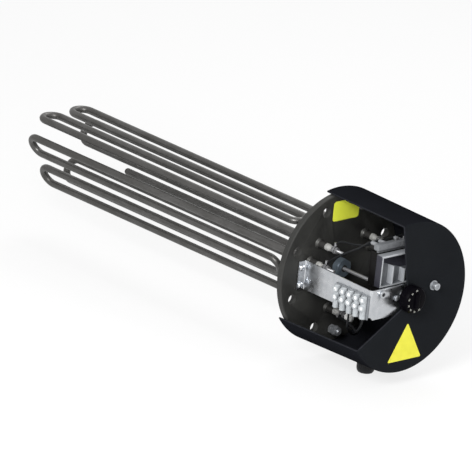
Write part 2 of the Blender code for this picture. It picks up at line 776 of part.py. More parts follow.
def make_strip(shop):
    """The bar of terminals on top of the thermostat: sockets behind and flat tabs above."""
    top = STRIP_BOTTOM + STRIP_HEIGHT
    middle = (STRIP_BOTTOM + top) / 2
    rear = STRIP_FRONT - STRIP_DEPTH
    strip = shop.place(
        "thermostat_terminal_strip",
        block(
            (-COVER_HALF_WIDTH, STRIP_BOTTOM, rear), (COVER_HALF_WIDTH, top, STRIP_FRONT), 1.2 * MM
        ),
        "grey_moulding",
    )
    tabs = [
        block(
            (x - TAB_WIDTH / 2, top - SHEET, STRIP_FRONT - STRIP_DEPTH / 2),
            (x + TAB_WIDTH / 2, top + TAB_HEIGHT, STRIP_FRONT - STRIP_DEPTH / 2 + TAB_THICKNESS),
        )
        for x in SOCKET_OFFSETS[2:5]
    ]
    foot = block(
        (-BODY_HALF_WIDTH, BODY_TOP + GAP, rear + SHEET),
        (BODY_HALF_WIDTH, middle, STRIP_FRONT - 2 * SHEET),
    )
    shop.join(strip, foot, *tabs)
    sockets = [(x, middle) for x in SOCKET_OFFSETS]
    shop.cut(
        strip,
        cylinders(
            WIRE_RADIUS + GAP, rear - SOCKET_DEPTH, rear + SOCKET_DEPTH + GAP, sockets, segments=12
        ),
    )


def d_outline(radius, flat, sides=24):
    """A circle with its top cut flat."""
    return [(x, min(y, flat)) for x, y in polygon(radius, sides, math.pi / sides)]


def make_shaft(shop):
    """The thermostat's shaft: round in its bearing and flattened under the knob."""
    round_end = HOOD_REACH - HOOD_FACE_WALL
    shaft = shop.place(
        "thermostat_shaft",
        cylinder(SHAFT_RADIUS, BODY_FRONT - SHAFT_INSERTION, round_end, segments=24),
        "nickel",
    )
    top = KNOB_BASE + KNOB_BORE_DEPTH
    shop.join(shaft, extruded(d_outline(SHAFT_RADIUS - 0.05 * MM, SHAFT_FLAT), round_end - SHEET, top))


def make_knob(shop):
    """A round fluted knob with a low grip bar across its face."""
    outline = []
    steps = 3 * KNOB_FLUTES
    for k in range(steps):
        angle = 2 * math.pi * k / steps
        radius = KNOB_RADIUS - KNOB_FLUTE_DEPTH * (k % 3 == 0)
        outline.append((radius * math.cos(angle), radius * math.sin(angle)))
    edge = 1.5 * MM
    side = extruded(outline, 0, KNOB_HEIGHT - edge)
    knob = shop.place("knob", side, "black_plastic", (0, 0, KNOB_BASE))
    inner = KNOB_RADIUS - 2 * KNOB_FLUTE_DEPTH
    cap = [
        (0, KNOB_HEIGHT),
        (inner - edge, KNOB_HEIGHT),
        (inner - edge * 0.3, KNOB_HEIGHT - edge * 0.3),
        (inner, KNOB_HEIGHT - edge),
        (inner, KNOB_HEIGHT - 3 * edge),
        (0, KNOB_HEIGHT - 3 * edge),
    ]
    half = KNOB_GRIP_WIDTH / 2
    reach = inner - 2 * edge
    grip = block(
        (-half, -reach, KNOB_HEIGHT - edge), (half, reach, KNOB_HEIGHT + KNOB_GRIP_HEIGHT), 0.9 * MM
    )
    bore = d_outline(SHAFT_RADIUS + GAP, SHAFT_FLAT + GAP)
    shop.join(knob, solid_of_turn(cap, 36), grip)
    shop.cut(knob, extruded(bore, -edge, KNOB_BORE_DEPTH + GAP))


def pole_places():
    """Distance of each pole of the terminal block from the flange's front face."""
    return [BLOCK_FRONT - POLE_PITCH * (k + 0.5) for k in reversed(range(POLES))]


def make_terminal_block(shop):
    """A pale moulded block on the bracket's left leg: a barrel with two screw turrets for each pole."""
    inner = -(BRIDGE_HALF_WIDTH + GAP)
    rear = BLOCK_FRONT - POLES * POLE_PITCH
    base = shop.place(
        "terminal_block",
        block((inner - BLOCK_BASE, BLOCK_BOTTOM, rear), (inner, BLOCK_TOP, BLOCK_FRONT), 0.5 * MM, 1),
        "pale_moulding",
    )
    barrels = [(BARREL_AXIS_X, place) for place in pole_places()]
    turrets = [(row, place) for place in pole_places() for row in TURRET_PLACES]
    shop.join(
        base,
        cylinders(
            BARREL_RADIUS - GAP / 2, BLOCK_BOTTOM + BARREL_INSET, BLOCK_TOP - BARREL_INSET, barrels, 14, "y"
        ),
        cylinders(TURRET_RADIUS, TURRET_FACE_X, BARREL_AXIS_X, turrets, 14, "x"),
    )
    beyond = 2 * MM
    shop.cut(
        base,
        cylinders(CLAMP_RADIUS + GAP, BLOCK_BOTTOM - beyond, BLOCK_TOP + beyond, barrels, 10, "y"),
        cylinders(CLAMP_SCREW_RADIUS + GAP, TURRET_FACE_X - beyond, BARREL_AXIS_X, turrets, 12, "x"),
    )
    for number, place in enumerate(pole_places(), 1):
        make_clamp(shop, number, place)


def make_clamp(shop, number, place):
    """A pole's metal sleeve with its two clamping screws."""
    bottom = BLOCK_BOTTOM + CLAMP_INSET
    top = BLOCK_TOP - CLAMP_INSET / 2
    clamp = shop.place(
        f"block_clamp_{number}",
        cylinder(CLAMP_RADIUS, bottom, top, (BARREL_AXIS_X, place), segments=10, along="y"),
        "nickel",
    )
    head = TURRET_FACE_X + CLAMP_SCREW_SINK
    screws = [(row, place) for row in TURRET_PLACES]
    shop.join(clamp, cylinders(CLAMP_SCREW_RADIUS, head, BARREL_AXIS_X, screws, segments=10, along="x"))
    grip = WIRE_GRIP - CLAMP_INSET + GAP
    slot = SLOT_WIDTH / 2
    slots = [
        block(
            (head - slot, row - slot, place - CLAMP_SCREW_RADIUS - slot),
            (head + 2 * slot, row + slot, place + CLAMP_SCREW_RADIUS + slot),
        )
        for row in TURRET_PLACES
    ]
    bore = cylinder(
        WIRE_RADIUS + GAP, BLOCK_BOTTOM - grip, bottom + grip + SHEET, (BARREL_AXIS_X, place), 8, "y"
    )
    shop.cut(clamp, bore, *slots)


def hood_inner_radius(height):
    """The hood's inner wall at a height; it narrows towards the front by its draft."""
    return FLANGE_RADIUS + GAP - height * math.tan(math.radians(HOOD_DRAFT_DEG))


def cut_outline(beyond):
    """The wedge that is sawn out: its upper cut points at the axis, its lower one passes below it."""
    upper = Vector((math.cos(math.radians(CUT_START_DEG)), math.sin(math.radians(CUT_START_DEG))))
    end = math.radians(CUT_END_DEG)
    rim = Vector((math.cos(end), math.sin(end))) * (FLANGE_RADIUS + GAP + HOOD_WALL)
    below = Vector((0, -CUT_DROP))
    along = rim - below
    apex = upper * (rim.cross(along) / upper.cross(along))
    steps = 6
    outer = arc((0, 0), beyond, CUT_START_DEG, CUT_END_DEG, steps)[:-1]
    return [tuple(apex)] + outer + [tuple(below + along * (beyond / along.length))]


def make_hood(shop):
    """A drawn cup that slips over the flange's rim, with a wedge sawn out to show the inside."""
    rim = -HOOD_OVERHANG
    inside = HOOD_REACH - HOOD_FACE_WALL
    corner = hood_inner_radius(HOOD_REACH) + HOOD_WALL - HOOD_EDGE_RADIUS
    bend = hood_inner_radius(inside) - HOOD_EDGE_RADIUS / 2
    outline = [(0, HOOD_REACH)]
    outline += reversed(arc((corner, HOOD_REACH - HOOD_EDGE_RADIUS), HOOD_EDGE_RADIUS, 0, 90, 3))
    outline += [
        (hood_inner_radius(rim) + HOOD_WALL, rim),
        (hood_inner_radius(rim), rim),
    ]
    outline += arc((bend, inside - HOOD_EDGE_RADIUS / 2), HOOD_EDGE_RADIUS / 2, 0, 90, 2)
    outline += [(0, inside)]
    hood = shop.place("hood", solid_of_turn(outline, 72), "black_plastic")
    beyond = 1.3 * FLANGE_RADIUS
    wedge = cut_outline(beyond)
    gland_top = hood_inner_radius(GLAND_POSITION) * 0.8
    shop.cut(
        hood,
        extruded(wedge, rim - HOOD_WALL, HOOD_REACH + HOOD_WALL),
        cylinder(HOOD_SHAFT_HOLE, inside - HOOD_WALL, HOOD_REACH + HOOD_WALL, segments=24),
        cylinder(
            HOOD_SCREW_RADIUS + GAP,
            inside - HOOD_WALL,
            HOOD_REACH + HOOD_WALL,
            (HOOD_SCREW_X, HOOD_SCREW_Y),
            segments=16,
        ),
        cylinder(
            GLAND_THREAD_RADIUS + GAP, -beyond, -gland_top, (0, GLAND_POSITION), segments=24, along="y"
        ),
    )


def make_hood_fixing(shop):
    """Rivet nuts in the bracket's plate, which the hood rests on, and the screw that holds it."""
    top = BRIDGE_REACH + GAP + INSERT_COLLAR
    rear = PLATE_REAR - GAP
    for name, side in (("left", -1), ("right", 1)):
        nut = shop.place(
            f"rivet_nut_{name}",
            cylinder(INSERT_RADIUS, BRIDGE_REACH + GAP, top, segments=16),
            "zinc",
            (side * HOOD_SCREW_X, HOOD_SCREW_Y, 0),
        )
        shop.join(
            nut,
            cylinder(INSERT_SHANK, rear - INSERT_LENGTH / 2, top - GAP, segments=14),
            extruded(polygon(INSERT_RADIUS * 0.85, 6), rear - INSERT_LENGTH, rear),
        )
        shop.cut(
            nut, cylinder(HOOD_SCREW_RADIUS + GAP, rear - 2 * INSERT_LENGTH, HOOD_REACH, segments=12)
        )
    seat = HOOD_REACH + GAP
    head = [
        (0, HOOD_SCREW_HEAD_HEIGHT),
        (HOOD_SCREW_HEAD_RADIUS * 0.8, HOOD_SCREW_HEAD_HEIGHT),
        (HOOD_SCREW_HEAD_RADIUS, HOOD_SCREW_HEAD_HEIGHT - HOOD_SCREW_HEAD_RADIUS * 0.2),
        (HOOD_SCREW_HEAD_RADIUS, HOOD_SCREW_COLLAR_HEIGHT),
        (HOOD_SCREW_COLLAR_RADIUS, HOOD_SCREW_COLLAR_HEIGHT),
        (HOOD_SCREW_COLLAR_RADIUS, 0),
        (HOOD_SCREW_RADIUS, 0),
        (HOOD_SCREW_RADIUS, -HOOD_SCREW_GRIP),
        (0, -HOOD_SCREW_GRIP),
    ]
    where = (HOOD_SCREW_X, HOOD_SCREW_Y, seat)
    screw = shop.place("hood_screw", profile_mesh(head, False, "hood_screw"), "zinc", where)
    turn_profile(screw, 20)


def make_gland(shop):
    """The cable gland: its local Z axis points down, and height 0 is the hood's outer wall."""
    wall = hood_inner_radius(GLAND_POSITION) + HOOD_WALL
    where = dict(location=(0, -wall, GLAND_POSITION), rotation=(math.pi / 2, 0, 0))
    hex_end = GAP + GLAND_HEX_HEIGHT
    thread_end = hex_end + GLAND_THREAD_BELOW
    body = shop.place(
        "gland_body", extruded(polygon(GLAND_HEX_RADIUS, 6), GAP, hex_end), "black_plastic", **where
    )
    shop.join(
        body, cylinder(GLAND_THREAD_RADIUS, -GLAND_THREAD_ABOVE, thread_end, segments=20)
    )
    shop.cut(
        body,
        cylinder(GLAND_BORE, -2 * GLAND_THREAD_ABOVE, 2 * thread_end, segments=16),
        cylinder(SEAL_RADIUS + GAP, thread_end - SEAL_SEAT, 2 * thread_end, segments=16),
    )
    dome_start = hex_end + GAP
    dome_end = dome_start + DOME_HEIGHT
    roof = thread_end + GAP
    dome = [
        (DOME_HOLE, dome_end),
        (DOME_RADIUS * 0.72, dome_end),
        (DOME_RADIUS * 0.9, dome_end - 0.14 * DOME_HEIGHT),
        (DOME_RADIUS, dome_end - 0.4 * DOME_HEIGHT),
        (DOME_RADIUS, dome_start),
        (GLAND_THREAD_RADIUS + GAP, dome_start),
        (GLAND_THREAD_RADIUS + GAP, roof),
        (SEAL_RADIUS + GAP, roof),
        (DOME_HOLE, dome_end - (dome_end - roof) / 2),
    ]
    nut = shop.place("gland_dome_nut", profile_mesh(dome, True, "dome"), "black_plastic", **where)
    turn_profile(nut, 20)
    seat = thread_end - SEAL_SEAT + GAP
    ring = [(SEAL_HOLE, roof), (SEAL_RADIUS, roof), (SEAL_RADIUS, seat), (SEAL_HOLE, seat)]
    seal = shop.place("gland_seal", profile_mesh(ring, True, "seal"), "rubber", **where)
    turn_profile(seal, 16)
    inner = hood_inner_radius(GLAND_POSITION + LOCKNUT_RADIUS)
    sag = inner - math.sqrt(inner**2 - LOCKNUT_RADIUS**2)
    bottom = inner - wall - sag - GAP
    locknut = shop.place(
        "gland_locknut",
        extruded(polygon(LOCKNUT_RADIUS, 6), bottom - LOCKNUT_HEIGHT, bottom),
        "black_plastic",
        **where,
    )
    through = (bottom - 2 * LOCKNUT_HEIGHT, bottom + LOCKNUT_HEIGHT)
    shop.cut(locknut, cylinder(GLAND_THREAD_RADIUS + GAP, *through, segments=20))


def make_earth_stud(shop):
    """A threaded stud on the flange with two nuts."""
    where = (EARTH_X, EARTH_Y, 0)
    stud = shop.place(
        "earth_stud",
        cylinder(EARTH_RADIUS, GAP - TAPPED_DEPTH, EARTH_LENGTH, segments=12),
        "zinc",
        where,
    )
    nut = polygon(EARTH_NUT_RADIUS, 6)
    first = 2 * GAP
    second = first + EARTH_NUT_SPACING
    shop.join(
        stud,
        extruded(nut, first, first + EARTH_NUT_HEIGHT),
        extruded(nut, second, second + EARTH_NUT_HEIGHT),
    )


def make_wire(shop, name, end, way, route, sleeve=None):
    """A wire with a ring on a terminal stud; way is the direction in which it leaves the ring.

    A sleeve covers its other end, from one height to another about the point given.
    """
    x, y = cold_ends()[end]
    ring = [
        (RING_RADIUS, RING_FRONT),
        (RING_RADIUS, RING_FRONT - RING_THICKNESS),
        (THREAD_RADIUS + GAP, RING_FRONT - RING_THICKNESS),
        (THREAD_RADIUS + GAP, RING_FRONT),
    ]
    centre = Vector((x, y, RING_MIDDLE))
    along = Vector((*way, 0))
    across = Vector((way[1], way[0], 0)) * WIRE_RADIUS + Vector((0, 0, RING_THICKNESS / 2))
    start = centre + along * (RING_RADIUS + 0.2 * MM)
    tongue = block(centre + along * (RING_RADIUS - MM) - across, start + along * TONGUE_LENGTH + across)
    points = [start] + [Vector(point) for point in route]
    tube = tube_mesh(smooth_route(points, WIRE_POINTS_PER_SPAN), WIRE_RADIUS, name, resolution=2)
    wire = shop.place(name, tube, "wire_grey")
    rings = solid_of_turn(ring, 14)
    rings.transform(Matrix.Translation((x, y, 0)))
    shop.join(wire, rings, tongue)
    if sleeve:
        middle, low, high = sleeve
        shop.join(wire, cylinder(SLEEVE_RADIUS, low, high, middle, segments=10))


def between(start, end, points):
    """Route points whose third number is a share of the way from start to end."""
    return [(x * MM, y * MM, start + share * (end - start)) for x, y, share in points]


def make_wires(shop):
    """The element leads, each along its own route in the front frame."""
    rear = STRIP_FRONT - STRIP_DEPTH
    entry = rear - SLEEVE_LENGTH - SLEEVE_STRAIGHT
    socket_y = STRIP_BOTTOM + STRIP_HEIGHT / 2
    to_sockets = (
        (
            "lead_top_left",
            "top_b",
            (0, 1),
            1,
            [(-35.5, 43, 0.03), (-33, 46.5, 0.18), (-30, 48, 0.5), (-24, 51.5, 0.8)],
        ),
        (
            "lead_left_upper",
            "left_a",
            (0, 1),
            0,
            [(-47, 23, 0.06), (-46.5, 31, 0.25), (-44.5, 40, 0.5), (-38, 49.5, 0.78)],
        ),
        (
            "lead_top_right",
            "top_a",
            (-1, 0),
            3,
            [(27, 35, 0.05), (18, 40, 0.3), (10, 49, 0.62)],
        ),
        (
            "lead_right_upper",
            "right_b",
            (0, 1),
            5,
            [(46, 29, 0.08), (43, 42, 0.35), (37, 52, 0.68)],
        ),
    )
    for name, end, way, socket, points in to_sockets:
        x = SOCKET_OFFSETS[socket]
        route = between(RING_MIDDLE, entry, points)
        route += [(x, socket_y, entry), (x, socket_y, rear + SOCKET_DEPTH)]
        sleeve = ((x, socket_y), rear - GAP - SLEEVE_LENGTH, rear - GAP)
        make_wire(shop, name, end, way, route, sleeve)
    to_poles = (
        (
            "lead_right_lower",
            "right_a",
            (0, -1),
            2,
            [(11, -57, 0.13), (-8, -61, 0.42), (-28, -57, 0.66), (-46, -47, 0.85), (-58, -37, 0.97)],
        ),
        (
            "lead_left_lower",
            "left_b",
            (-1, 0),
            4,
            [(-22, -47.5, 0.07), (-32, -44, 0.33), (-44, -41, 0.62), (-56, -38, 0.87)],
        ),
    )
    for name, end, way, number, points in to_poles:
        pole = pole_places()[number]
        route = between(RING_MIDDLE, pole, points)
        route += [
            (BARREL_AXIS_X, BLOCK_BOTTOM - POLE_STRAIGHT, pole),
            (BARREL_AXIS_X, BLOCK_BOTTOM + WIRE_GRIP, pole),
        ]
        make_wire(shop, name, end, way, route)


def main():
    clear_scene()
    shop = Workshop()
    make_flange(shop)
    for side in ELEMENT_ANGLES:
        make_element(shop, side)
    for end, place in cold_ends().items():
        make_terminal(shop, end, place)
    make_pocket(shop)
    make_bracket(shop)
    make_bracket_screws(shop)
    make_thermostat(shop)
    make_shaft(shop)
    make_knob(shop)
    make_terminal_block(shop)
    make_hood(shop)
    make_hood_fixing(shop)
    make_gland(shop)
    make_earth_stud(shop)
    make_wires(shop)


if __name__ == "__main__":
    main()
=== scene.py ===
"""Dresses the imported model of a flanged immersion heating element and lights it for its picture.

Pieces are modelled in the flange's front frame: x to the right, y up, and z the distance in front
of the flange's front face. `settle` turns each finished piece into the model's own frame.
Sizes are in millimetres and angles in degrees unless a name says otherwise.
"""

from __future__ import annotations

import logging
import math
from contextlib import contextmanager
from dataclasses import dataclass
from enum import Enum
from typing import Callable, Iterator, Sequence

import bpy
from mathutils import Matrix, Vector

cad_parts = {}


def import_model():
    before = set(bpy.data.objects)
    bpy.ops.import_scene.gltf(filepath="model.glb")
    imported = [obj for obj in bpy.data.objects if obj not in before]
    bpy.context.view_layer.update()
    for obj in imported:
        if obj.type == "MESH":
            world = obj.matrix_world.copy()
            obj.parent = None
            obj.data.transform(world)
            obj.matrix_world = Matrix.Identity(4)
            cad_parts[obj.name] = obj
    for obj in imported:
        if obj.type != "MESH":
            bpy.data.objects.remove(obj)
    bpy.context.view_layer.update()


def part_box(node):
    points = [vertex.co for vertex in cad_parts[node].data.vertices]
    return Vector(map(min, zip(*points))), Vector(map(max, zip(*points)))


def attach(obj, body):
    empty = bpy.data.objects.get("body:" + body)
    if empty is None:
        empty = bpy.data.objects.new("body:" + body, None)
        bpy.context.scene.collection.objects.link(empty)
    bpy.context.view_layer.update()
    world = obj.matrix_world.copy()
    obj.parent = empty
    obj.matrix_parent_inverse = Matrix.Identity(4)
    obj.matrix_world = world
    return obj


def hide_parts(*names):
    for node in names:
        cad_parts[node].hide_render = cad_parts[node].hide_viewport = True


MM = 0.001
FLANGE_THICKNESS = 8.0
FLANGE_RADIUS = 90.0
HOOD_REACH = 114.5
HOOD_FACE_WALL = 2.2
HOOD_SCREW = (38.0, 8.6)
CASE_SCREW_X = 14.0
GAP = 0.3
MERGE_DISTANCE = 0.001
SOFT_EDGE_ANGLE = 50.0
SMOOTH = 34.0
SMOOTH_LOW = 30.0
PLASTIC_IOR = 1.5
SENSOR_WIDTH = 36.0
ORIGIN = (0.0, 0.0)
HOUSING = "housing"
CONTROL = "control"

Pair = tuple[float, float]
Triple = tuple[float, float, float]
Piece = bpy.types.Object
Tree = bpy.types.NodeTree
Socket = bpy.types.NodeSocket

log = logging.getLogger("heating_element")


class Along(Enum):
    """The axis that a bar runs along: its place among x, y and z, and the turn from Z to it."""

    X = (0, (0, 90, 0))
    Y = (1, (-90, 0, 0))
    Z = (2, (0, 0, 0))


class Side(Enum):
    """The three elements, by their angle about the flange's axis."""

    TOP = 90
    LEFT = 210
    RIGHT = 334


class Way(Enum):
    """What a Boolean does with its tool."""

    CUT = "DIFFERENCE"
    JOIN = "UNION"
    KEEP = "INTERSECT"


# Finishes


def linear(code: str) -> tuple[float, float, float, float]:
    """Turns an sRGB hex colour into linear channels.

    Args:
        code: The colour as #rrggbb.

    Returns:
        Red, green, blue and alpha, with alpha 1.
    """
    parts = [int(code[k : k + 2], 16) / 255 for k in (1, 3, 5)]
    plain = [p / 12.92 if p <= 0.04045 else ((p + 0.055) / 1.055) ** 2.4 for p in parts]
    return (*plain, 1.0)


def add_node(tree: Tree, kind: str, inputs: dict, **settings: object) -> bpy.types.Node:
    """Adds one node with its settings, values and links.

    Args:
        tree: The node tree.
        kind: The node's type name, without its first part ShaderNode.
        inputs: Input name or number to a value, or to another node's socket.
        settings: The node's own properties.

    Returns:
        The new node.
    """
    made = tree.nodes.new("ShaderNode" + kind)
    for name, value in settings.items():
        setattr(made, name, value)
    for key, value in inputs.items():
        if isinstance(value, Socket):
            tree.links.new(value, made.inputs[key])
        else:
            made.inputs[key].default_value = value
    return made


@dataclass(frozen=True)
class Finish:
    """A surface with two close tones in patches and a fine relief.

    Patch, grain and relief are real sizes. Stretch draws the pattern out along X, Y and Z.
    """

    name: str
    slot: str
    tone: str
    second_tone: str
    roughness: float
    spread: float = 0.05
    metallic: float = 0.0
    specular: float = 0.5
    patch: float = 8.0
    grain: float = 0.8
    relief: float = 0.01
    stretch: Triple = (1.0, 1.0, 1.0)

    def tones(self, tree: Tree, place: Socket) -> tuple[Socket, Socket]:
        """Mixes the two tones in soft patches.

        Args:
            tree: The node tree.
            place: The coordinates to read.

        Returns:
            The colour and the mask that mixed it.
        """
        cloud = {"Vector": place, "Scale": 1 / (self.patch * MM), "Detail": 5.0, "Roughness": 0.6}
        share = add_node(tree, "TexNoise", cloud).outputs["Fac"]
        limits = {"Value": share, "From Min": 0.32, "From Max": 0.68}
        mask = add_node(tree, "MapRange", limits).outputs["Result"]
        ends = {0: mask, 6: linear(self.tone), 7: linear(self.second_tone)}
        return add_node(tree, "Mix", ends, data_type="RGBA").outputs[2], mask

    def grain_height(self, tree: Tree, place: Socket) -> Socket:
        """The fine relief as a height from 0 to 1."""
        fine = add_node(tree, "TexNoise", {"Vector": place, "Scale": 1 / (self.grain * MM), "Detail": 3.0})
        return fine.outputs["Fac"]

    def build(self) -> bpy.types.Material:
        """Makes the material when it is first asked for.

        Returns:
            The material, the same one each time.
        """
        if known := bpy.data.materials.get(self.name):
            return known
        made = bpy.data.materials.new(self.name)
        made.use_nodes = True
        tree = made.node_tree
        shader = tree.nodes["Principled BSDF"]
        own = add_node(tree, "TexCoord", {}).outputs["Object"]
        shrink = tuple(1 / s for s in self.stretch)
        place = add_node(tree, "Mapping", {"Vector": own, "Scale": shrink}).outputs["Vector"]
        colour, mask = self.tones(tree, place)
        height = self.grain_height(tree, place)
        low, high = max(self.roughness - self.spread, 0.02), min(self.roughness + self.spread, 1.0)
        rough = add_node(tree, "MapRange", {"Value": mask, "To Min": low, "To Max": high})
        bump = add_node(tree, "Bump", {"Height": height, "Distance": self.relief * MM, "Strength": 1.0})
        tree.links.new(colour, shader.inputs["Base Color"])
        tree.links.new(rough.outputs["Result"], shader.inputs["Roughness"])
        tree.links.new(bump.outputs["Normal"], shader.inputs["Normal"])
        shader.inputs["Metallic"].default_value = self.metallic
        if not self.metallic:
            shader.inputs["IOR"].default_value = PLASTIC_IOR
        shader.inputs["Specular IOR Level"].default_value = self.specular
        made.diffuse_color = linear(self.tone)
        return made


@dataclass(frozen=True)
class SheathFinish(Finish):
    """Nickel-chromium sheath after annealing: matt grey with darker bands round the rod."""

    band: float = 46.0
    band_tone: str = "#4a4947"

    def tones(self, tree: Tree, place: Socket) -> tuple[Socket, Socket]:
        """Adds slow bands along the rod to the patches.

        Args:
            tree: The node tree.
            place: The coordinates to read.

        Returns:
            The colour and the patches' mask.
        """
        colour, mask = super().tones(tree, place)
        bands = add_node(tree, "TexNoise", {"Vector": place, "Scale": 1 / (self.band * MM), "Detail": 1.0})
        limits = {"Value": bands.outputs["Fac"], "From Min": 0.4, "From Max": 0.7, "To Max": 0.7}
        depth = add_node(tree, "MapRange", limits).outputs["Result"]
        mixed = add_node(tree, "Mix", {0: depth, 6: colour, 7: linear(self.band_tone)}, data_type="RGBA")
        return mixed.outputs[2], mask


@dataclass(frozen=True)
class ScratchedFinish(Finish):
    """Plated sheet with fine rolling lines along one direction."""

    line: float = 0.5
    line_stretch: float = 30.0

    def grain_height(self, tree: Tree, place: Socket) -> Socket:
        """Draws fine lines out along one direction.

        Args:
            tree: The node tree.
            place: The coordinates to read.

        Returns:
            The lines as a height from 0 to 1.
        """
        scale = (1.0, 1 / self.line_stretch, 1.0)
        drawn = add_node(tree, "Mapping", {"Vector": place, "Scale": scale}).outputs["Vector"]
        lines = add_node(tree, "TexNoise", {"Vector": drawn, "Scale": 1 / (self.line * MM), "Detail": 2.0})
        return lines.outputs["Fac"]


# Polyester powder coat, baked: brownish black with a low orange peel of about 1.5 mm
POWDER_COAT = Finish(
    "powder_coated_steel", "black_paint", "#282827", "#323230", 0.52,
    specular=0.2, patch=26, grain=1.5, relief=0.03,
)
# Injection-moulded ABS of the hood's wall, drawn from the mould: dead matt and near-black
WALL_ABS = Finish(
    "wall_abs", "black_plastic", "#17181b", "#1a1b1f", 0.6, 0.04,
    specular=0.0, patch=40, grain=0.9, relief=0.02,
)
# The same ABS on the spark-eroded front: a faint blue cast and a fine even grain
HOOD_ABS = Finish(
    "moulded_abs", "black_plastic", "#16181b", "#191b1e", 0.5, 0.04,
    specular=0.03, patch=40, grain=0.9, relief=0.02,
)
# The sawn face of the same ABS: paler and rougher, where the saw left it torn
SAWN_ABS = Finish(
    "sawn_abs", "black_plastic", "#1d1e22", "#27282c", 0.8, 0.08,
    specular=0.05, patch=3, grain=0.6, relief=0.06,
)
# Nickel-chromium sheath, bright-annealed and then handled: satin mid grey
SHEATH = SheathFinish(
    "annealed_sheath", "oxidised_steel", "#5d5c5b", "#4c4b49", 0.40, 0.08,
    metallic=0.75, patch=7, grain=0.7, relief=0.012, stretch=(1.0, 3.0, 1.0),
)
# Brazing alloy round each rod, left as it flowed and oxidised: dull dark grey
BRAZE = Finish(
    "oxidised_braze", "zinc", "#494947", "#393937", 0.5, 0.1, metallic=0.5, patch=4, grain=1.4, relief=0.08
)
# Cold-rolled sheet, zinc plated and clear passivated: light blue-grey
ZINC_SHEET = ScratchedFinish(
    "zinc_plated_sheet", "zinc", "#c6c8cb", "#b8bbbf", 0.30, 0.08, metallic=1.0, patch=9, relief=0.006
)
# Turned and rolled fasteners with the same plating, a little brighter
ZINC_SCREW = Finish(
    "zinc_plated_screw", "zinc", "#d9dbde", "#c3c6ca", 0.24, 0.06, metallic=1.0, patch=4, relief=0.008
)
# Cap screw of the hood and the earth nuts, plated and dulled by handling: mid grey
DULL_SCREW = Finish(
    "dull_plated_screw", "zinc", "#a9acb0", "#94979b", 0.42, 0.08, metallic=0.75, patch=3, relief=0.02
)
# The forged boss nut with thick dull plating: dark grey-blue
DULL_ZINC = Finish(
    "dull_zinc_plate", "zinc", "#7f8c97", "#6d7882", 0.42, 0.08,
    metallic=0.6, patch=5, grain=1.0, relief=0.03,
)
# Nickel plate on brass, bright: almost white
NICKEL = Finish(
    "nickel_plated_brass", "nickel", "#f4f5f6", "#e8e9ea", 0.3, 0.06, metallic=0.4, patch=4, relief=0.006
)
# Stainless studs and the stem, as drawn: mid grey and satin
DRAWN_STEEL = Finish(
    "drawn_steel", "nickel", "#98989a", "#838486", 0.42, 0.08, metallic=0.7, patch=5, relief=0.02
)
# Steatite, pressed and fired without glaze, greyed by handling
STEATITE = Finish(
    "fired_steatite", "ceramic", "#9a9a98", "#868683", 0.62, 0.08, patch=5, grain=0.5, relief=0.02
)
# Compression-moulded phenolic: very dark brown with a soft gloss
PHENOLIC = Finish("moulded_phenolic", "bakelite", "#0c0b0b", "#100f0f", 0.42, 0.06, specular=0.12, patch=6)
# Moulded PBT: cool light grey on the cover's rim
GREY_PBT = Finish("moulded_pbt", "grey_moulding", "#a9acb0", "#9b9ea2", 0.42)
# The same PBT with painted shade in the pockets' floors and between the ribs: darker grey
FLOOR_SHADE_PBT = Finish("pbt_floor_painted_shade", "grey_moulding", "#606367", "#525559", 0.45)
# The same PBT with painted shade on the sides of the cover's ribs and on its top: mid grey
RIB_SHADE_PBT = Finish("pbt_rib_painted_shade", "grey_moulding", "#8d9094", "#818488", 0.42)
# The same PBT with painted shadow in the cover's shut recess and on its outer sides: violet black
RECESS_SHADOW_PBT = Finish("pbt_recess_painted_shadow", "grey_moulding", "#2a2a31", "#323239", 0.5, specular=0.2)
# Glass-filled PBT of the terminal strip: mid grey
FILLED_PBT = Finish(
    "filled_pbt", "grey_moulding", "#6d6f72", "#5f6164", 0.5, specular=0.4, patch=4, grain=0.7, relief=0.03
)
# Unfilled polyamide: milky grey, as if the metal inside showed through
POLYAMIDE = Finish("moulded_polyamide", "pale_moulding", "#a2a6a9", "#929699", 0.36, patch=7, grain=0.9)
# The same polyamide with painted shade in the furrows between the poles: darker grey
FURROW_SHADE_PA = Finish("polyamide_painted_furrow_shade", "pale_moulding", "#74777b", "#66696c", 0.5, patch=7, grain=0.9)
# Push-on cap of one terminal, moulded in the same polyamide with a white pigment
WHITE_PA = Finish("white_polyamide", "pale_moulding", "#f0f1ef", "#e4e5e3", 0.4, patch=4)
# Polished phenolic of the knob: black with a faint violet cast
KNOB_PHENOLIC = Finish(
    "polished_phenolic", "knob_plastic", "#060508", "#08070b", 0.36, specular=0.02, relief=0.008
)
# Black polyamide of the cable gland
GLAND_PA = Finish(
    "black_polyamide", "gland_plastic", "#121316", "#17181b", 0.46, specular=0.25, grain=0.7, relief=0.02
)
# Nitrile rubber
NITRILE = Finish(
    "nitrile_rubber", "rubber", "#191919", "#1f1f1f", 0.75, 0.06,
    specular=0.3, patch=5, grain=0.6, relief=0.02,
)
# Silicone lead with a woven look, 0.8 mm to the thread: near-black
LEAD_SILICONE = Finish(
    "lead_silicone", "wire_sleeve", "#18191b", "#121315", 0.55, 0.06, specular=0.15, patch=6, relief=0.03
)
# Shrunk sleeve on the end of each lead: mid grey with soft ridges
SHRUNK_SLEEVE = Finish(
    "shrunk_sleeve", "wire_sleeve", "#7f8184", "#6f7174", 0.5, 0.06, patch=5, grain=1.2, relief=0.05
)
# Screen-printed polyester film: flat lemon yellow
YELLOW_FILM = Finish(
    "yellow_film", "pale_moulding", "#e3de38", "#dad52f", 0.38, 0.04, patch=12, grain=2.0, relief=0.004
)
# The same film on the flange, printed greener
LIME_FILM = Finish(
    "lime_film", "pale_moulding", "#ecf34c", "#e3ea48", 0.4, 0.04, patch=12, grain=2.0, relief=0.004
)
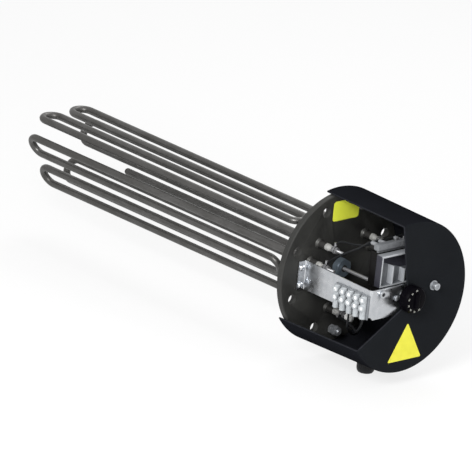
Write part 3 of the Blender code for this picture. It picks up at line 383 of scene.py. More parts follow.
# Hot-stamped dial print: pale grey
DIAL_PRINT = Finish(
    "dial_print", "knob_plastic", "#b9bab2", "#aeafa7", 0.5, 0.04, patch=3, grain=0.6, relief=0.002
)


# Modelling


def pick(piece: Piece) -> None:
    """Makes one object the only selected and active one.

    Args:
        piece: The object.
    """
    bpy.ops.object.select_all(action="DESELECT")
    piece.select_set(True)
    bpy.context.view_layer.objects.active = piece


def put(piece: Piece, place: Sequence[float] = (0, 0, 0), turn: Triple = (0, 0, 0)) -> Piece:
    """Turns and moves an object, and puts that and its scale into its mesh.

    Args:
        piece: The object.
        place: Its shift.
        turn: Its turn about X, Y and Z.

    Returns:
        The same object.
    """
    pick(piece)
    piece.rotation_euler = [math.radians(a) for a in turn]
    piece.location = [c * MM for c in place]
    bpy.ops.object.transform_apply(location=True, rotation=True, scale=True)
    return piece


@contextmanager
def editing(piece: Piece, kind: str = "VERT") -> Iterator[None]:
    """Opens edit mode with the whole piece selected, and shuts it at the end.

    Args:
        piece: The object.
        kind: Whether vertices, edges or faces are selected.

    Yields:
        Nothing.
    """
    pick(piece)
    bpy.ops.object.mode_set(mode="EDIT")
    bpy.ops.mesh.select_mode(type=kind)
    bpy.ops.mesh.select_all(action="SELECT")
    yield
    bpy.ops.object.mode_set(mode="OBJECT")


def added(operator: Callable, **settings: object) -> Piece:
    """Adds an object with nothing else selected.

    Args:
        operator: The operator that adds it.
        settings: What the operator is given.

    Returns:
        The new object.
    """
    bpy.ops.object.select_all(action="DESELECT")
    operator(**settings)
    return bpy.context.object


def modified(piece: Piece, kind: str, **settings: object) -> Piece:
    """Adds one modifier and applies it.

    Args:
        piece: The object.
        kind: The modifier's type.
        settings: The modifier's own properties.

    Returns:
        The same object.
    """
    pick(piece)
    step = piece.modifiers.new(kind.lower(), kind)
    for name, value in settings.items():
        setattr(step, name, value)
    bpy.ops.object.modifier_apply(modifier=step.name)
    return piece


def soften(piece: Piece, width: float, segments: int = 2) -> Piece:
    """Rounds the sharp edges, with a number of faces across each."""
    limit = {"limit_method": "ANGLE", "angle_limit": math.radians(SOFT_EDGE_ANGLE)}
    return modified(piece, "BEVEL", width=width * MM, segments=segments, **limit)


def combine(piece: Piece, way: Way, *tools: Piece) -> Piece:
    """Cuts, joins or keeps, with each tool used up.

    Args:
        piece: The object to change.
        way: What to do.
        tools: The other objects.

    Returns:
        The same object.
    """
    for tool in tools:
        modified(piece, "BOOLEAN", operation=way.value, solver="EXACT", object=tool)
        bpy.data.objects.remove(tool)
    return piece


def sliced(piece: Piece, spot: Triple, normal: Sequence[float], fill: bool = True) -> Piece:
    """Takes away what lies on the side that a plane's normal points to.

    Args:
        piece: The object.
        spot: A point of the plane.
        normal: The plane's normal, of any length.
        fill: Whether the cut is closed with a face.

    Returns:
        The same object.
    """
    way = Vector(normal).normalized()
    with editing(piece):
        bpy.ops.mesh.bisect(plane_co=[c * MM for c in spot], plane_no=way, use_fill=fill, clear_outer=True)
    return piece


def joined(parts: Sequence[Piece]) -> Piece:
    """Makes several objects one.

    Args:
        parts: The objects.

    Returns:
        The first of them, which holds all.
    """
    pick(parts[0])
    for part in parts:
        part.select_set(True)
    if len(parts) > 1:
        bpy.ops.object.join()
    return parts[0]


def copied(piece: Piece, shift: Sequence[float]) -> Piece:
    """Copies an object with its mesh.

    Args:
        piece: The object.
        shift: How far the copy stands from it.

    Returns:
        The copy.
    """
    pick(piece)
    bpy.ops.object.duplicate(linked=False)
    return put(bpy.context.object, shift)


def box(low: Triple, high: Triple, bevel: float = 0.0, segments: int = 3) -> Piece:
    """A box between two corners with rounded edges.

    Args:
        low: The lowest corner.
        high: The highest corner.
        bevel: The radius of its edges.
        segments: Faces across each rounding.

    Returns:
        The new object.
    """
    cube = added(bpy.ops.mesh.primitive_cube_add, size=1, scale=[(b - a) * MM for a, b in zip(low, high)])
    put(cube, [(a + b) / 2 for a, b in zip(low, high)])
    return soften(cube, bevel, segments) if bevel else cube


def bar(
    radius: float, start: float, end: float, place: Pair = ORIGIN, sides: int = 48, along: Along = Along.Z
) -> Piece:
    """A round or, with few sides, a prismatic bar.

    Args:
        radius: To its corners.
        start: Where it begins along its axis.
        end: Where it ends.
        place: Its other two coordinates, in the order x, y, z.
        sides: Its number of faces.
        along: Its axis.

    Returns:
        The new object.
    """
    index, turn = along.value
    spot = [*place]
    spot.insert(index, (start + end) / 2)
    size = {"vertices": sides, "radius": radius * MM, "depth": (end - start) * MM}
    return put(added(bpy.ops.mesh.primitive_cylinder_add, **size), spot, turn)


def turned(
    profile: Sequence[Pair], steps: int = 96, closed: bool = False, place: Pair = ORIGIN
) -> Piece:
    """Turns a profile about Z: a ring is extruded and scaled from point to point.

    Args:
        profile: (radius, height) points, none with radius 0.
        steps: Faces around.
        closed: Whether the last point joins the first, as on a ring.
        place: Where its axis stands.

    Returns:
        The new object, capped at both ends unless it is closed.
    """
    radius, height = profile[0]
    piece = added(bpy.ops.mesh.primitive_circle_add, vertices=steps, radius=radius * MM)
    put(piece, (0, 0, height))
    with editing(piece, "EDGE"):
        for wider, higher in [*profile[1:], *([profile[0]] if closed else [])]:
            rise = (0, 0, (higher - height) * MM)
            scale = wider / radius
            bpy.ops.mesh.extrude_edges_move(TRANSFORM_OT_translate={"value": rise})
            bpy.ops.transform.resize(value=(scale, scale, 1), center_override=(0, 0, 0))
            radius, height = wider, higher
        bpy.ops.mesh.select_all(action="SELECT")
        bpy.ops.mesh.remove_doubles(threshold=MERGE_DISTANCE * MM)
        if not closed:
            bpy.ops.mesh.fill_holes(sides=0)
        bpy.ops.mesh.select_all(action="SELECT")
        bpy.ops.mesh.normals_make_consistent(inside=False)
    return put(piece, (*place, 0))


def tube(points: Sequence[Triple], radius: float, resolution: int = 4) -> Piece:
    """A round bar along a line of points.

    Args:
        points: The line.
        radius: The bar's radius.
        resolution: The curve's bevel resolution.

    Returns:
        The new object as a closed mesh.
    """
    curve = added(bpy.ops.curve.primitive_nurbs_path_add).data
    curve.splines.clear()
    spline = curve.splines.new("POLY")
    spline.points.add(len(points) - 1)
    for point, spot in zip(spline.points, points):
        point.co = (*(c * MM for c in spot), 1)
    curve.bevel_depth = radius * MM
    curve.bevel_resolution = resolution
    curve.use_fill_caps = True
    bpy.ops.object.convert(target="MESH")
    piece = bpy.context.object
    with editing(piece):
        bpy.ops.mesh.remove_doubles(threshold=MERGE_DISTANCE * MM)
        bpy.ops.mesh.normals_make_consistent(inside=False)
    return piece


def nut(radius: float, start: float, height: float) -> Piece:
    """A hexagon nut with both faces chamfered round.

    Args:
        radius: To its corners.
        start: Where its rear face is.
        height: Its height.

    Returns:
        The new object.
    """
    end, chamfer = start + height, 0.1 * radius
    edge = 0.96 * (radius - chamfer)
    drum = turned([(edge, start), (radius, start + chamfer), (radius, end - chamfer), (edge, end)], 48)
    return combine(bar(radius, start, end, sides=6), Way.KEEP, drum)


def cross_head(radius: float, start: float, height: float, place: Pair) -> Piece:
    """A domed screw head with a cross recess.

    Args:
        radius: The head's radius.
        start: Where its underside is.
        height: Its height.
        place: Where its axis stands.

    Returns:
        The new object.
    """
    side = 0.15
    dome = [polar(1, a) for a in (15, 30, 45, 60, 72, 82)]
    rise = [(radius, start), (radius, start + side * height)]
    rise += [(radius * x, start + height * (side + (1 - side) * y)) for x, y in dome]
    arm, width = 0.62 * radius, 0.13 * radius
    low, high = start + 0.55 * height, start + height + 1
    slots = [box((-x, -y, low), (x, y, high)) for x, y in ((arm, width), (width, arm))]
    return put(combine(turned(rise, 48), Way.CUT, *slots), (*place, 0), (0, 0, 24))


def thread(radius: float, start: float, end: float, pitch: float = 0.9) -> Piece:
    """A shank with ridges for its thread, drawn coarser than the real 0.7 mm so that it shows.

    Args:
        radius: Over the ridges.
        start: Where it begins.
        end: Where it ends.
        pitch: From ridge to ridge.

    Returns:
        The new object.
    """
    root = radius - 0.28
    profile = [(root, start)]
    rung = start + pitch / 2
    while rung + pitch < end:
        profile += [(radius, rung), (root, rung + pitch / 2)]
        rung += pitch
    profile += [(radius, rung), (radius, end - 0.5), (root, end)]
    return turned(profile, 20)


def round_corners(film: Piece, radius: float) -> Piece:
    """Rounds the upright corners of a film a fraction of a millimetre thick.

    Args:
        film: The film.
        radius: The corners' radius.

    Returns:
        The same object.
    """
    with editing(film, "EDGE"):
        bpy.ops.mesh.select_all(action="DESELECT")
    for edge in film.data.edges:
        one, two = (film.data.vertices[k].co for k in edge.vertices)
        edge.select = abs(one.z - two.z) > 0.05 * MM and (one.xy - two.xy).length < 0.01 * MM
    bpy.ops.object.mode_set(mode="EDIT")
    bpy.ops.mesh.bevel(offset=radius * MM, segments=6, affect="EDGES")
    bpy.ops.object.mode_set(mode="OBJECT")
    return film


def settle(
    piece: Piece, name: str, finish: Finish, node: str = "", body: str = HOUSING, angle: float = SMOOTH
) -> Piece:
    """Turns a finished piece into the model's frame and gives it its name, finish and body.

    Args:
        piece: The object, in the front frame.
        name: The piece's name.
        finish: Its finish.
        node: The CAD node that it stands for, if any.
        body: The body that it rides on.
        angle: The sharpest edge that is shaded smooth.

    Returns:
        The same object.
    """
    put(piece, (0, -FLANGE_THICKNESS, 0), (90, 0, 0))
    bpy.ops.object.shade_smooth_by_angle(angle=math.radians(angle))
    piece.name = name
    piece.data.name = name
    piece.data.materials.append(finish.build())
    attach(piece, body)
    if node:
        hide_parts(node)
    log.info("%s: %d faces", name, len(piece.data.polygons))
    return piece


def ring(inner: float, outer: float, low: float, high: float, steps: int, place: Pair = ORIGIN) -> Piece:
    """A plain ring between two radii and two heights."""
    return turned([(inner, low), (outer, low), (outer, high), (inner, high)], steps, True, place)


def polar(radius: float, degrees: float) -> Pair:
    """(x, y) of a point at a radius and an angle."""
    return (radius * math.cos(math.radians(degrees)), radius * math.sin(math.radians(degrees)))


def arc(centre: Pair, radius: float, start: float, end: float, steps: int) -> list[Pair]:
    """Points along an arc from one angle to another, both ends included."""
    spots = [polar(radius, start + (end - start) * k / steps) for k in range(steps + 1)]
    return [(centre[0] + x, centre[1] + y) for x, y in spots]


def smooth_route(points: Sequence[Triple], per_span: int) -> list[Triple]:
    """A smooth curve through the points (Catmull-Rom).

    Args:
        points: The route.
        per_span: Points from one of them to the next.

    Returns:
        The curve's points.
    """
    route = [Vector(p) for p in points]
    ends = [route[0] * 2 - route[1]] + route + [route[-1] * 2 - route[-2]]
    smooth: list[Triple] = []
    for before, start, end, after in zip(ends, ends[1:], ends[2:], ends[3:]):
        straight = end - before
        square = 2 * before - 5 * start + 4 * end - after
        cube = 3 * start - before - 3 * end + after
        for t in (k / per_span for k in range(per_span)):
            smooth.append(tuple(0.5 * (2 * start + straight * t + square * t * t + cube * t * t * t)))
    return [*smooth, tuple(route[-1])]


# The object


@dataclass
class Elements:
    """Three W-shaped sheathed rods with their brazed joints."""

    distance: float = 34.0
    radius: float = 4.25
    inner: float = 11.2
    outer: float = 35.8
    tip: float = 450.0
    root: float = 68.0
    cold_end: float = 12.0
    leg_steps: int = 12
    bend_steps: int = 28
    fillet: tuple[Pair, ...] = ((2.1, 0.02), (1.9, 0.5), (1.0, 1.1), (0.4, 2.0), (0.02, 2.6))

    def leg(self, side: Side, offset: float) -> Pair:
        """(x, y) of a leg at an offset along its element's plane."""
        out, along = polar(self.distance, side.value), polar(offset, side.value + 90)
        return (out[0] + along[0], out[1] + along[1])

    def ends(self) -> dict[str, Pair]:
        """The rods' ends in front of the flange.

        Returns:
            Each end's name and place.
        """
        return {
            f"{side.name.lower()}_{end}": self.leg(side, sign * self.outer)
            for side in Side
            for end, sign in (("a", -1), ("b", 1))
        }

    def path(self) -> list[Pair]:
        """The middle line of a bent rod.

        Returns:
            Offset and height of each point.
        """
        tip, root = -FLANGE_THICKNESS - self.tip, -FLANGE_THICKNESS - self.root
        centre, bend = (self.inner + self.outer) / 2, (self.outer - self.inner) / 2
        down = [self.cold_end, *(tip * k / self.leg_steps for k in range(1, self.leg_steps))]
        line = [(-self.outer, height) for height in down]
        line += arc((-centre, tip), bend, 180, 360, self.bend_steps)
        line += arc((0, root), self.inner, 180, 0, self.bend_steps)
        line += arc((centre, tip), bend, 180, 360, self.bend_steps)
        return line + [(self.outer, height) for height in reversed(down)]

    def build(self) -> None:
        """Makes the rods and the brazing round each of them."""
        for side in Side:
            points = [(*self.leg(side, offset), height) for offset, height in self.path()]
            name = side.name.lower()
            settle(tube(points, self.radius, 7), f"rod_{name}", SHEATH, f"heating_element_{name}")
        fillets = []
        r = self.radius
        for place in self.ends().values():
            for face, way in ((-FLANGE_THICKNESS, -1), (0.0, 1)):
                profile = [(r + out, face + way * rise) for out, rise in self.fillet] + [(r - 0.4, face)]
                fillets.append(turned(profile, 40, True, place))
        settle(joined(fillets), "brazed_joints", BRAZE)


@dataclass
class Flange:
    """The round flange with its bolt holes."""

    bolts: int = 8
    bolt_circle: float = 75.0
    bolt_hole: float = 6.0
    rod_hole: float = 4.35
    pocket_hole: float = 4.1
    screw_hole: float = 2.15
    chamfer: float = 0.8

    def build(self, ends: dict[str, Pair], screws: Sequence[Pair]) -> None:
        """Makes the flange.

        Args:
            ends: Where the rods pass through.
            screws: Where the bracket's screws enter.
        """
        t, r, c = FLANGE_THICKNESS, FLANGE_RADIUS, self.chamfer
        through = (-t - 5, 5)
        disc = turned([(r - c, 0), (r, -c), (r, c - t), (r - c, -t)], 240)
        bolts = [polar(self.bolt_circle, (k + 0.5) * 360 / self.bolts) for k in range(self.bolts)]
        holes = [bar(self.bolt_hole, *through, place) for place in bolts]
        holes += [bar(self.rod_hole, *through, place, 32) for place in ends.values()]
        holes.append(bar(self.pocket_hole, *through, sides=32))
        holes += [bar(self.screw_hole, -6, 5, place, 20) for place in screws]
        soften(combine(disc, Way.CUT, joined(holes)), 0.35)
        settle(disc, "flange_plate", POWDER_COAT, "flange", angle=SMOOTH_LOW)


@dataclass
class Terminals:
    """The ceramic bead, threaded stud and nuts on each cold end."""

    bead: float = 4.2
    bead_start: float = 12.3
    bead_length: float = 9.7
    nut: float = 4.05
    nut_height: float = 3.0
    stud: float = 2.0
    reach: float = 17.5
    capped: str = "left_b"
    cap: tuple[Pair, ...] = ((2.1, -7.0), (4.4, -7.0), (4.7, -6.6), (4.7, -1.0), (4.2, 0.6), (2.6, 1.4))

    def build(self, ends: dict[str, Pair]) -> None:
        """Makes one of each and copies it to every end.

        Args:
            ends: Where the rods end.
        """
        r, back = self.bead, self.bead_start
        front = back + self.bead_length
        waist, step = front - self.bead_length / 2, 0.75 * r
        profile = [
            (1.8, back), (r - 0.4, back), (r, back + 0.4), (r, waist - 0.3), (r - 0.3, waist),
            (step, front - self.bead_length / 3), (step, front - 0.4), (step - 0.4, front), (1.8, front),
        ]
        bead = turned(profile, 40, True)
        shoulder = front + GAP
        tip = shoulder + self.reach
        stud = joined([
            bar(1.5, 3.0, shoulder + 1, sides=24),
            thread(self.stud, shoulder + GAP, tip),
            nut(self.nut, shoulder, self.nut_height),
            nut(self.nut, shoulder + self.nut_height + 1.0 + 3 * GAP, self.nut_height),
        ])
        for name, place in ends.items():
            settle(copied(bead, (*place, 0)), f"bead_{name}", STEATITE, f"insulator_{name}")
            settle(copied(stud, (*place, 0)), f"stud_{name}", DRAWN_STEEL, f"terminal_stud_{name}")
        bpy.data.objects.remove(bead)
        bpy.data.objects.remove(stud)
        place = ends[self.capped]
        cap = turned([(radius, tip + height) for radius, height in self.cap], 40, place=place)
        combine(cap, Way.CUT, bar(2.1, tip - 8, tip + 0.2, place, 24))
        settle(cap, "terminal_cap", WHITE_PA)


@dataclass
class Pocket:
    """The sensor pocket, its boss and the thermostat's stem."""

    radius: float = 4.0
    wall: float = 0.75
    depth: float = 348.0
    boss: float = 12.0
    boss_height: float = 9.0
    stem: tuple[Pair, ...] = ((1.2, -333.0), (2.2, -331.5), (2.2, 83.2), (1.8, 83.8))

    def build(self) -> None:
        """Makes the three pieces."""
        mouth, end = self.boss_height + GAP, -FLANGE_THICKNESS - self.depth
        r, bore = self.radius, self.radius - self.wall
        profile = [(bore, mouth), (r, mouth), (r, end + r)]
        profile += [(x, end + r - y) for x, y in (polar(r, a) for a in (20, 40, 60, 75, 86))]
        profile += [(1.0, end + 1.2), (bore, end + r)]
        settle(turned(profile, 40, True), "pocket_tube", SHEATH, "sensor_pocket")
        boss = nut(self.boss, GAP, self.boss_height - GAP)
        combine(boss, Way.CUT, bar(r + 0.15, -2, self.boss_height + 2, sides=40))
        settle(boss, "pocket_nut", DULL_ZINC, "pocket_boss")
        settle(turned(self.stem, 28), "stem", DRAWN_STEEL, "thermostat_stem")


@dataclass
class Bracket:
    """The bent bridge of zinc-plated sheet with its screws and rivet nuts."""

    sheet: float = 1.5
    reach: float = 109.6
    half_width: float = 55.5
    top: float = 15.0
    leg_top: float = 17.0
    bottom: float = -21.0
    leg_bottom: float = -17.5
    foot: float = 66.0
    foot_bend: float = 2.5
    plate_bend: float = 3.0
    screw_x: float = 61.5
    screw_heights: Pair = (9.0, -12.0)

    def screws(self) -> list[Pair]:
        """Where the four foot screws stand."""
        return [(side * self.screw_x, height) for side in (-1, 1) for height in self.screw_heights]

    def path(self) -> list[Pair]:
        """The middle line of the sheet, from the left foot to the right one.

        Returns:
            x and height of each point.
        """
        half = self.sheet / 2
        foot, plate, leg = GAP + half, self.reach - half, self.half_width - half
        line = [(-self.foot, foot)]
        line += arc((-leg - self.foot_bend, foot + self.foot_bend), self.foot_bend, -90, 0, 8)
        line += arc((-leg + self.plate_bend, plate - self.plate_bend), self.plate_bend, 180, 90, 8)
        return line + [(-x, height) for x, height in reversed(line)]

    def strip(self) -> Piece:
        """Extrudes an edge along the path and gives it the sheet's thickness.

        Returns:
            The bent sheet with its tapered legs.
        """
        path = self.path()
        sheet = added(bpy.ops.mesh.primitive_plane_add, size=1)
        with editing(sheet):
            bpy.ops.mesh.merge(type="CENTER")
            bpy.ops.transform.translate(value=[c * MM for c in (path[0][0], self.bottom, path[0][1])])
            rise = (0, (self.leg_top - self.bottom) * MM, 0)
            bpy.ops.mesh.extrude_vertices_move(TRANSFORM_OT_translate={"value": rise})
            bpy.ops.mesh.select_mode(type="EDGE")
            bpy.ops.mesh.select_all(action="SELECT")
            for before, after in zip(path, path[1:]):
                step = ((after[0] - before[0]) * MM, 0, (after[1] - before[1]) * MM)
                bpy.ops.mesh.extrude_edges_move(TRANSFORM_OT_translate={"value": step})
        slope = (0, self.reach - self.sheet, self.leg_top - self.top)
        sliced(sheet, (0, self.leg_top, 0), slope, fill=False)
        with editing(sheet):
            bpy.ops.mesh.normals_make_consistent(inside=False)
        return modified(sheet, "SOLIDIFY", thickness=self.sheet * MM, offset=0)

    def build(self) -> None:
        """Makes the bracket, cuts its outline and holes, and adds its fasteners."""
        sheet = self.strip()
        corner = self.half_width - self.plate_bend - 2 * self.sheet
        low = 2 * self.bottom - self.leg_bottom
        plate = (self.reach - 4, self.reach + 3)
        tools = []
        for side in (-1, 1):
            near, far = side * corner, side * (self.foot + 3)
            relief = box((min(near, far), low, -3), (max(near, far), self.leg_bottom, self.reach + 3))
            tools.append(sliced(relief, (near, self.bottom, 0), (-side, 1, 0)))
        for side in (-1, 1):
            tools.append(bar(3.0, *plate, (side * HOOD_SCREW[0], HOOD_SCREW[1]), 32))
            tools.append(bar(1.9, *plate, (side * CASE_SCREW_X, 0.0), 24))
        tools.append(bar(6.0, *plate))
        tools += [bar(2.2, -2, 4, place, 24) for place in self.screws()]
        soften(combine(sheet, Way.CUT, *tools), 0.3)
        settle(sheet, "bracket_sheet", ZINC_SHEET, "bridge_bracket", angle=SMOOTH_LOW)
        self.fasteners()

    def fasteners(self) -> None:
        """The foot screws with washers, and the rivet nuts in the plate."""
        seat = GAP + self.sheet + 0.1
        lid = seat + 0.7
        for number, place in enumerate(self.screws(), 1):
            head, washer = cross_head(3.7, lid, 2.2, place), ring(2.2, 4.2, seat, lid, 40, place)
            screw = [head, washer, bar(1.95, -5.6, seat + 1, place, 20)]
            settle(joined(screw), f"foot_screw_{number}", ZINC_SCREW, f"bracket_screw_{number}")
        top = HOOD_REACH - HOOD_FACE_WALL - GAP
        low, rear = self.reach + 0.1, self.reach - self.sheet - GAP
        collar = [(2.3, low), (4.4, low), (4.4, top - 0.3), (4.1, top), (2.3, top)]
        crimp = [(2.7, rear - 3.4), (3.6, rear - 2.6), (3.8, rear - 1.2), (3.7, rear), (2.7, rear)]
        for name, side in (("left", -1), ("right", 1)):
            place = (side * HOOD_SCREW[0], HOOD_SCREW[1])
            rivet = [
                turned(collar, 40, True, place),
                ring(2.3, 2.9, rear - 5.8, top - 1, 32, place),
                turned(crimp, 32, True, place),
            ]
            settle(joined(rivet), f"rivet_{name}", ZINC_SHEET, f"rivet_nut_{name}")


@dataclass
class Thermostat:
    """The moulded thermostat body, its ribbed cover, terminal strip and two screws."""

    half_width: float = 34.0
    neck: float = 28.0
    top: float = 51.5
    bottom: float = -16.0
    step: float = 12.9
    rear: float = 80.0
    front: float = 107.8
    cover_half: float = 38.0
    cover_front: float = 103.8
    cover_depth: float = 9.5
    wall: float = 2.2
    headroom: float = 8.5
    rib_low: float = 31.4
    rib_slant: float = 0.33
    recess: float = 0.6
    strip_lift: float = 3.8
    strip_height: float = 7.4
    strip_depth: float = 8.0
    groove_heights: Triple = (0.0, 24.0, 37.0)
    sockets: tuple[float, ...] = (-30, -18, -6, 6, 18, 30)

    def build(self) -> None:
        """Makes the four groups of pieces."""
        half, rear = self.half_width, self.rear
        shelf = self.cover_front - self.cover_depth - GAP
        case = box((-half, self.step - 2, rear), (half, self.top, shelf), 1.0)
        neck = box((-self.neck, self.bottom, rear + 1), (self.neck, self.step, self.front), 1.0)
        grooves = [
            box((-half - 1, y - 0.35, rear - 1), (half + 1, y + 0.35, rear + 0.5))
            for y in self.groove_heights
        ]
        parting = box((-half - 1, self.top - 9.2, rear - 1), (0.35 - half, self.top - 8.8, shelf + 1))
        combine(combine(case, Way.JOIN, neck), Way.CUT, joined(grooves), parting)
        settle(case, "thermostat_case", PHENOLIC, "thermostat_body")
        self.cover()
        self.strip()
        seat = self.front + GAP + 1.5
        for number, side in enumerate((-1, 1), 1):
            head = turned([(3.3, seat + 0.2), (3.3, seat + 0.8), (2.6, seat + 1.5), (1.2, seat + 1.9)], 40)
            combine(head, Way.CUT, box((-4, -0.35, seat + 1.1), (4, 0.35, seat + 3)))
            screw = joined([head, bar(1.65, self.front - 8, seat + 0.5, sides=20)])
            put(screw, (side * CASE_SCREW_X, 0, 0))
            settle(screw, f"case_screw_{number}", DULL_SCREW, f"thermostat_screw_{number}")

    def cover(self) -> None:
        """The open cover: a tray with ribs and a shut recess above them."""
        half, wall, front = self.cover_half, self.wall, self.cover_front
        low, back = self.step + 0.6, front - self.cover_depth
        tray = box((-half, low, back), (half, self.top, front), 0.8)
        pitch = (2 * half - wall) / 4
        lefts = [-half + wall + k * pitch for k in range(4)]
        roof = self.top - self.headroom
        pockets = [
            box((left, low + wall, back + wall), (left + pitch - wall, roof, front + 4), 0.8)
            for left in lefts
        ]
        inner = half - wall
        head = box((-inner, self.rib_low, back + wall - self.recess), (inner, self.top - wall, front + 4))
        sliced(head, (0, self.rib_low, 0), (-self.rib_slant, -1, 0))
        soften(combine(tray, Way.CUT, joined(pockets), head), 0.25)
        settle(tray, "ribbed_cover", GREY_PBT, "thermostat_cover")
        self.shade(tray, low)

    def shade(self, tray: Piece, low: float) -> None:
        """Paints shade on the tray: darker copies of its grey go on the floors, ribs' sides, recess and
        outer sides.

        Args:
            tray: The cover, in the model's frame.
            low: The height of its lower edge.
        """
        for finish in (FLOOR_SHADE_PBT, RIB_SHADE_PBT, RECESS_SHADOW_PBT):
            tray.data.materials.append(finish.build())
        # The three darker copies, in order, paint the shade on the floors and on the ribs' sides and top,
        # and the painted shadow in the recess and on the outer sides
        floor_shade, rib_shade, dark = 1, 2, 3
        edge = self.cover_half - 0.5
        rim = GAP - self.cover_front - FLANGE_THICKNESS
        floor = self.cover_depth - self.wall + self.recess / 2 - self.cover_front - FLANGE_THICKNESS
        for face in tray.data.polygons:
            x, y, z = face.center / MM
            across = abs(face.normal.x)
            if abs(x) < edge and z > low + 0.5 and y >= rim:
                if y > floor and face.normal.y < -0.5:
                    face.material_index = dark
                else:
                    face.material_index = rib_shade if across > 0.5 or z > self.top - 0.5 else floor_shade
            elif abs(x) > edge and across > 0.7:
                face.material_index = dark

    def strip(self) -> None:
        """The terminal strip with its foot, sockets and flat tabs."""
        front = self.cover_front - 8.0
        rear = front - self.strip_depth
        low = self.top + self.strip_lift
        high = low + self.strip_height
        strip = box((-self.cover_half, low, rear), (self.cover_half, high, front), 1.2, 4)
        half = self.half_width
        foot = box((-half, self.top + GAP, rear + 1.5), (half, low + 2, front - 3), 0.3)
        ridges = [
            box((x - 0.7, low + 0.8, front - 0.4), (x + 0.7, high - 0.6, front + 0.25), 0.2)
            for x in (-24, -12, 0, 12, 24)
        ]
        sockets = [bar(1.6, rear - 4, rear + 4.3, (x, (low + high) / 2), 24) for x in self.sockets]
        combine(strip, Way.CUT, joined(sockets))
        settle(joined([strip, foot, *ridges]), "terminal_strip", FILLED_PBT, "thermostat_terminal_strip")
        tabs = [
            box((x - 2.5, high - 1.5, front - 4.0), (x + 2.5, high + 3.5, front - 3.2), 0.25)
            for x in self.sockets[2:5]
        ]
        settle(joined(tabs), "strip_tabs", DRAWN_STEEL)


@dataclass
class TerminalBlock:
    """The five-pole block on the bracket's left leg: barrels with two screw turrets each."""

    poles: int = 5
    pitch: float = 10.9
    top: float = 8.7
    height: float = 28.7
    inner: float = -55.8
    base: float = 1.7
    axis: float = -59.7
    front: float = 108.7
    barrel: float = 3.75
    turret: float = 4.1
    turret_height: float = 4.4
    turret_drops: Pair = (5.5, 15.2)
    clamp: float = 2.6
    screw: float = 2.4

    def places(self) -> list[float]:
        """Distance of each pole in front of the flange."""
        return [self.front - self.pitch * (k + 0.5) for k in reversed(range(self.poles))]

    def build(self) -> None:
        """Makes the moulding and its clamps."""
        low, high = self.top - self.height, self.top
        outer, back = self.axis - self.turret_height, self.inner - self.base
        rows = [self.top - drop for drop in self.turret_drops]
        body = box((back, low, self.front - self.poles * self.pitch), (self.inner, high, self.front), 0.5)
        shapes, bores, wells = [], [], []
        for place in self.places():
            spot = (self.axis, place)
            shapes.append(bar(self.barrel, low + 0.6, high - 0.6, spot, 40, Along.Y))
            bores.append(bar(self.clamp + GAP, low - 3, high + 3, spot, 32, Along.Y))
            for row in rows:
                shapes.append(bar(self.turret, outer, self.axis, (row, place), 40, Along.X))
                wells.append(bar(self.screw + GAP, outer - 3, self.axis, (row, place), 32, Along.X))
        combine(body, Way.JOIN, *(soften(shape, 0.5, 3) for shape in shapes))
        soften(combine(body, Way.CUT, joined(bores), joined(wells)), 0.18)
        settle(body, "block_moulding", POLYAMIDE, "terminal_block")
        # Painted shade: the faces between the turrets, next to the base plate, take the darker polyamide
        body.data.materials.append(FURROW_SHADE_PA.build())
        for face in body.data.polygons:
            if (back - 1.6) * MM < face.center.x < (self.inner - 0.4) * MM:
                face.material_index = 1
        for number, place in enumerate(self.places(), 1):
            self.clamp_piece(number, place, rows, outer)

    def clamp_piece(self, number: int, place: float, rows: Sequence[float], outer: float) -> None:
        """One metal sleeve with its two slotted screws.

        Args:
            number: The pole's number.
            place: The pole's distance in front of the flange.
            rows: Heights of the two screws.
            outer: x of the turrets' outer faces.
        """
        low, head = self.top - self.height + 4, outer + 0.5
        sleeve = bar(self.clamp, low, self.top - 2, (self.axis, place), 40, Along.Y)
        parts = [combine(sleeve, Way.CUT, bar(1.6, low - 3, low + 2.8, (self.axis, place), 28, Along.Y))]
        for row in rows:
            screw = soften(bar(self.screw, head, self.axis, (row, place), 36, Along.X), 0.25)
            turn = 35 * ((number * 7 + int(row)) % 5) - 60
            slot = put(box((-1, -0.4, -3), (0.9, 0.4, 3)), (head, row, place), (turn, 0, 0))
            parts.append(combine(screw, Way.CUT, slot))
        settle(joined(parts), f"clamp_{number}", NICKEL, f"block_clamp_{number}")


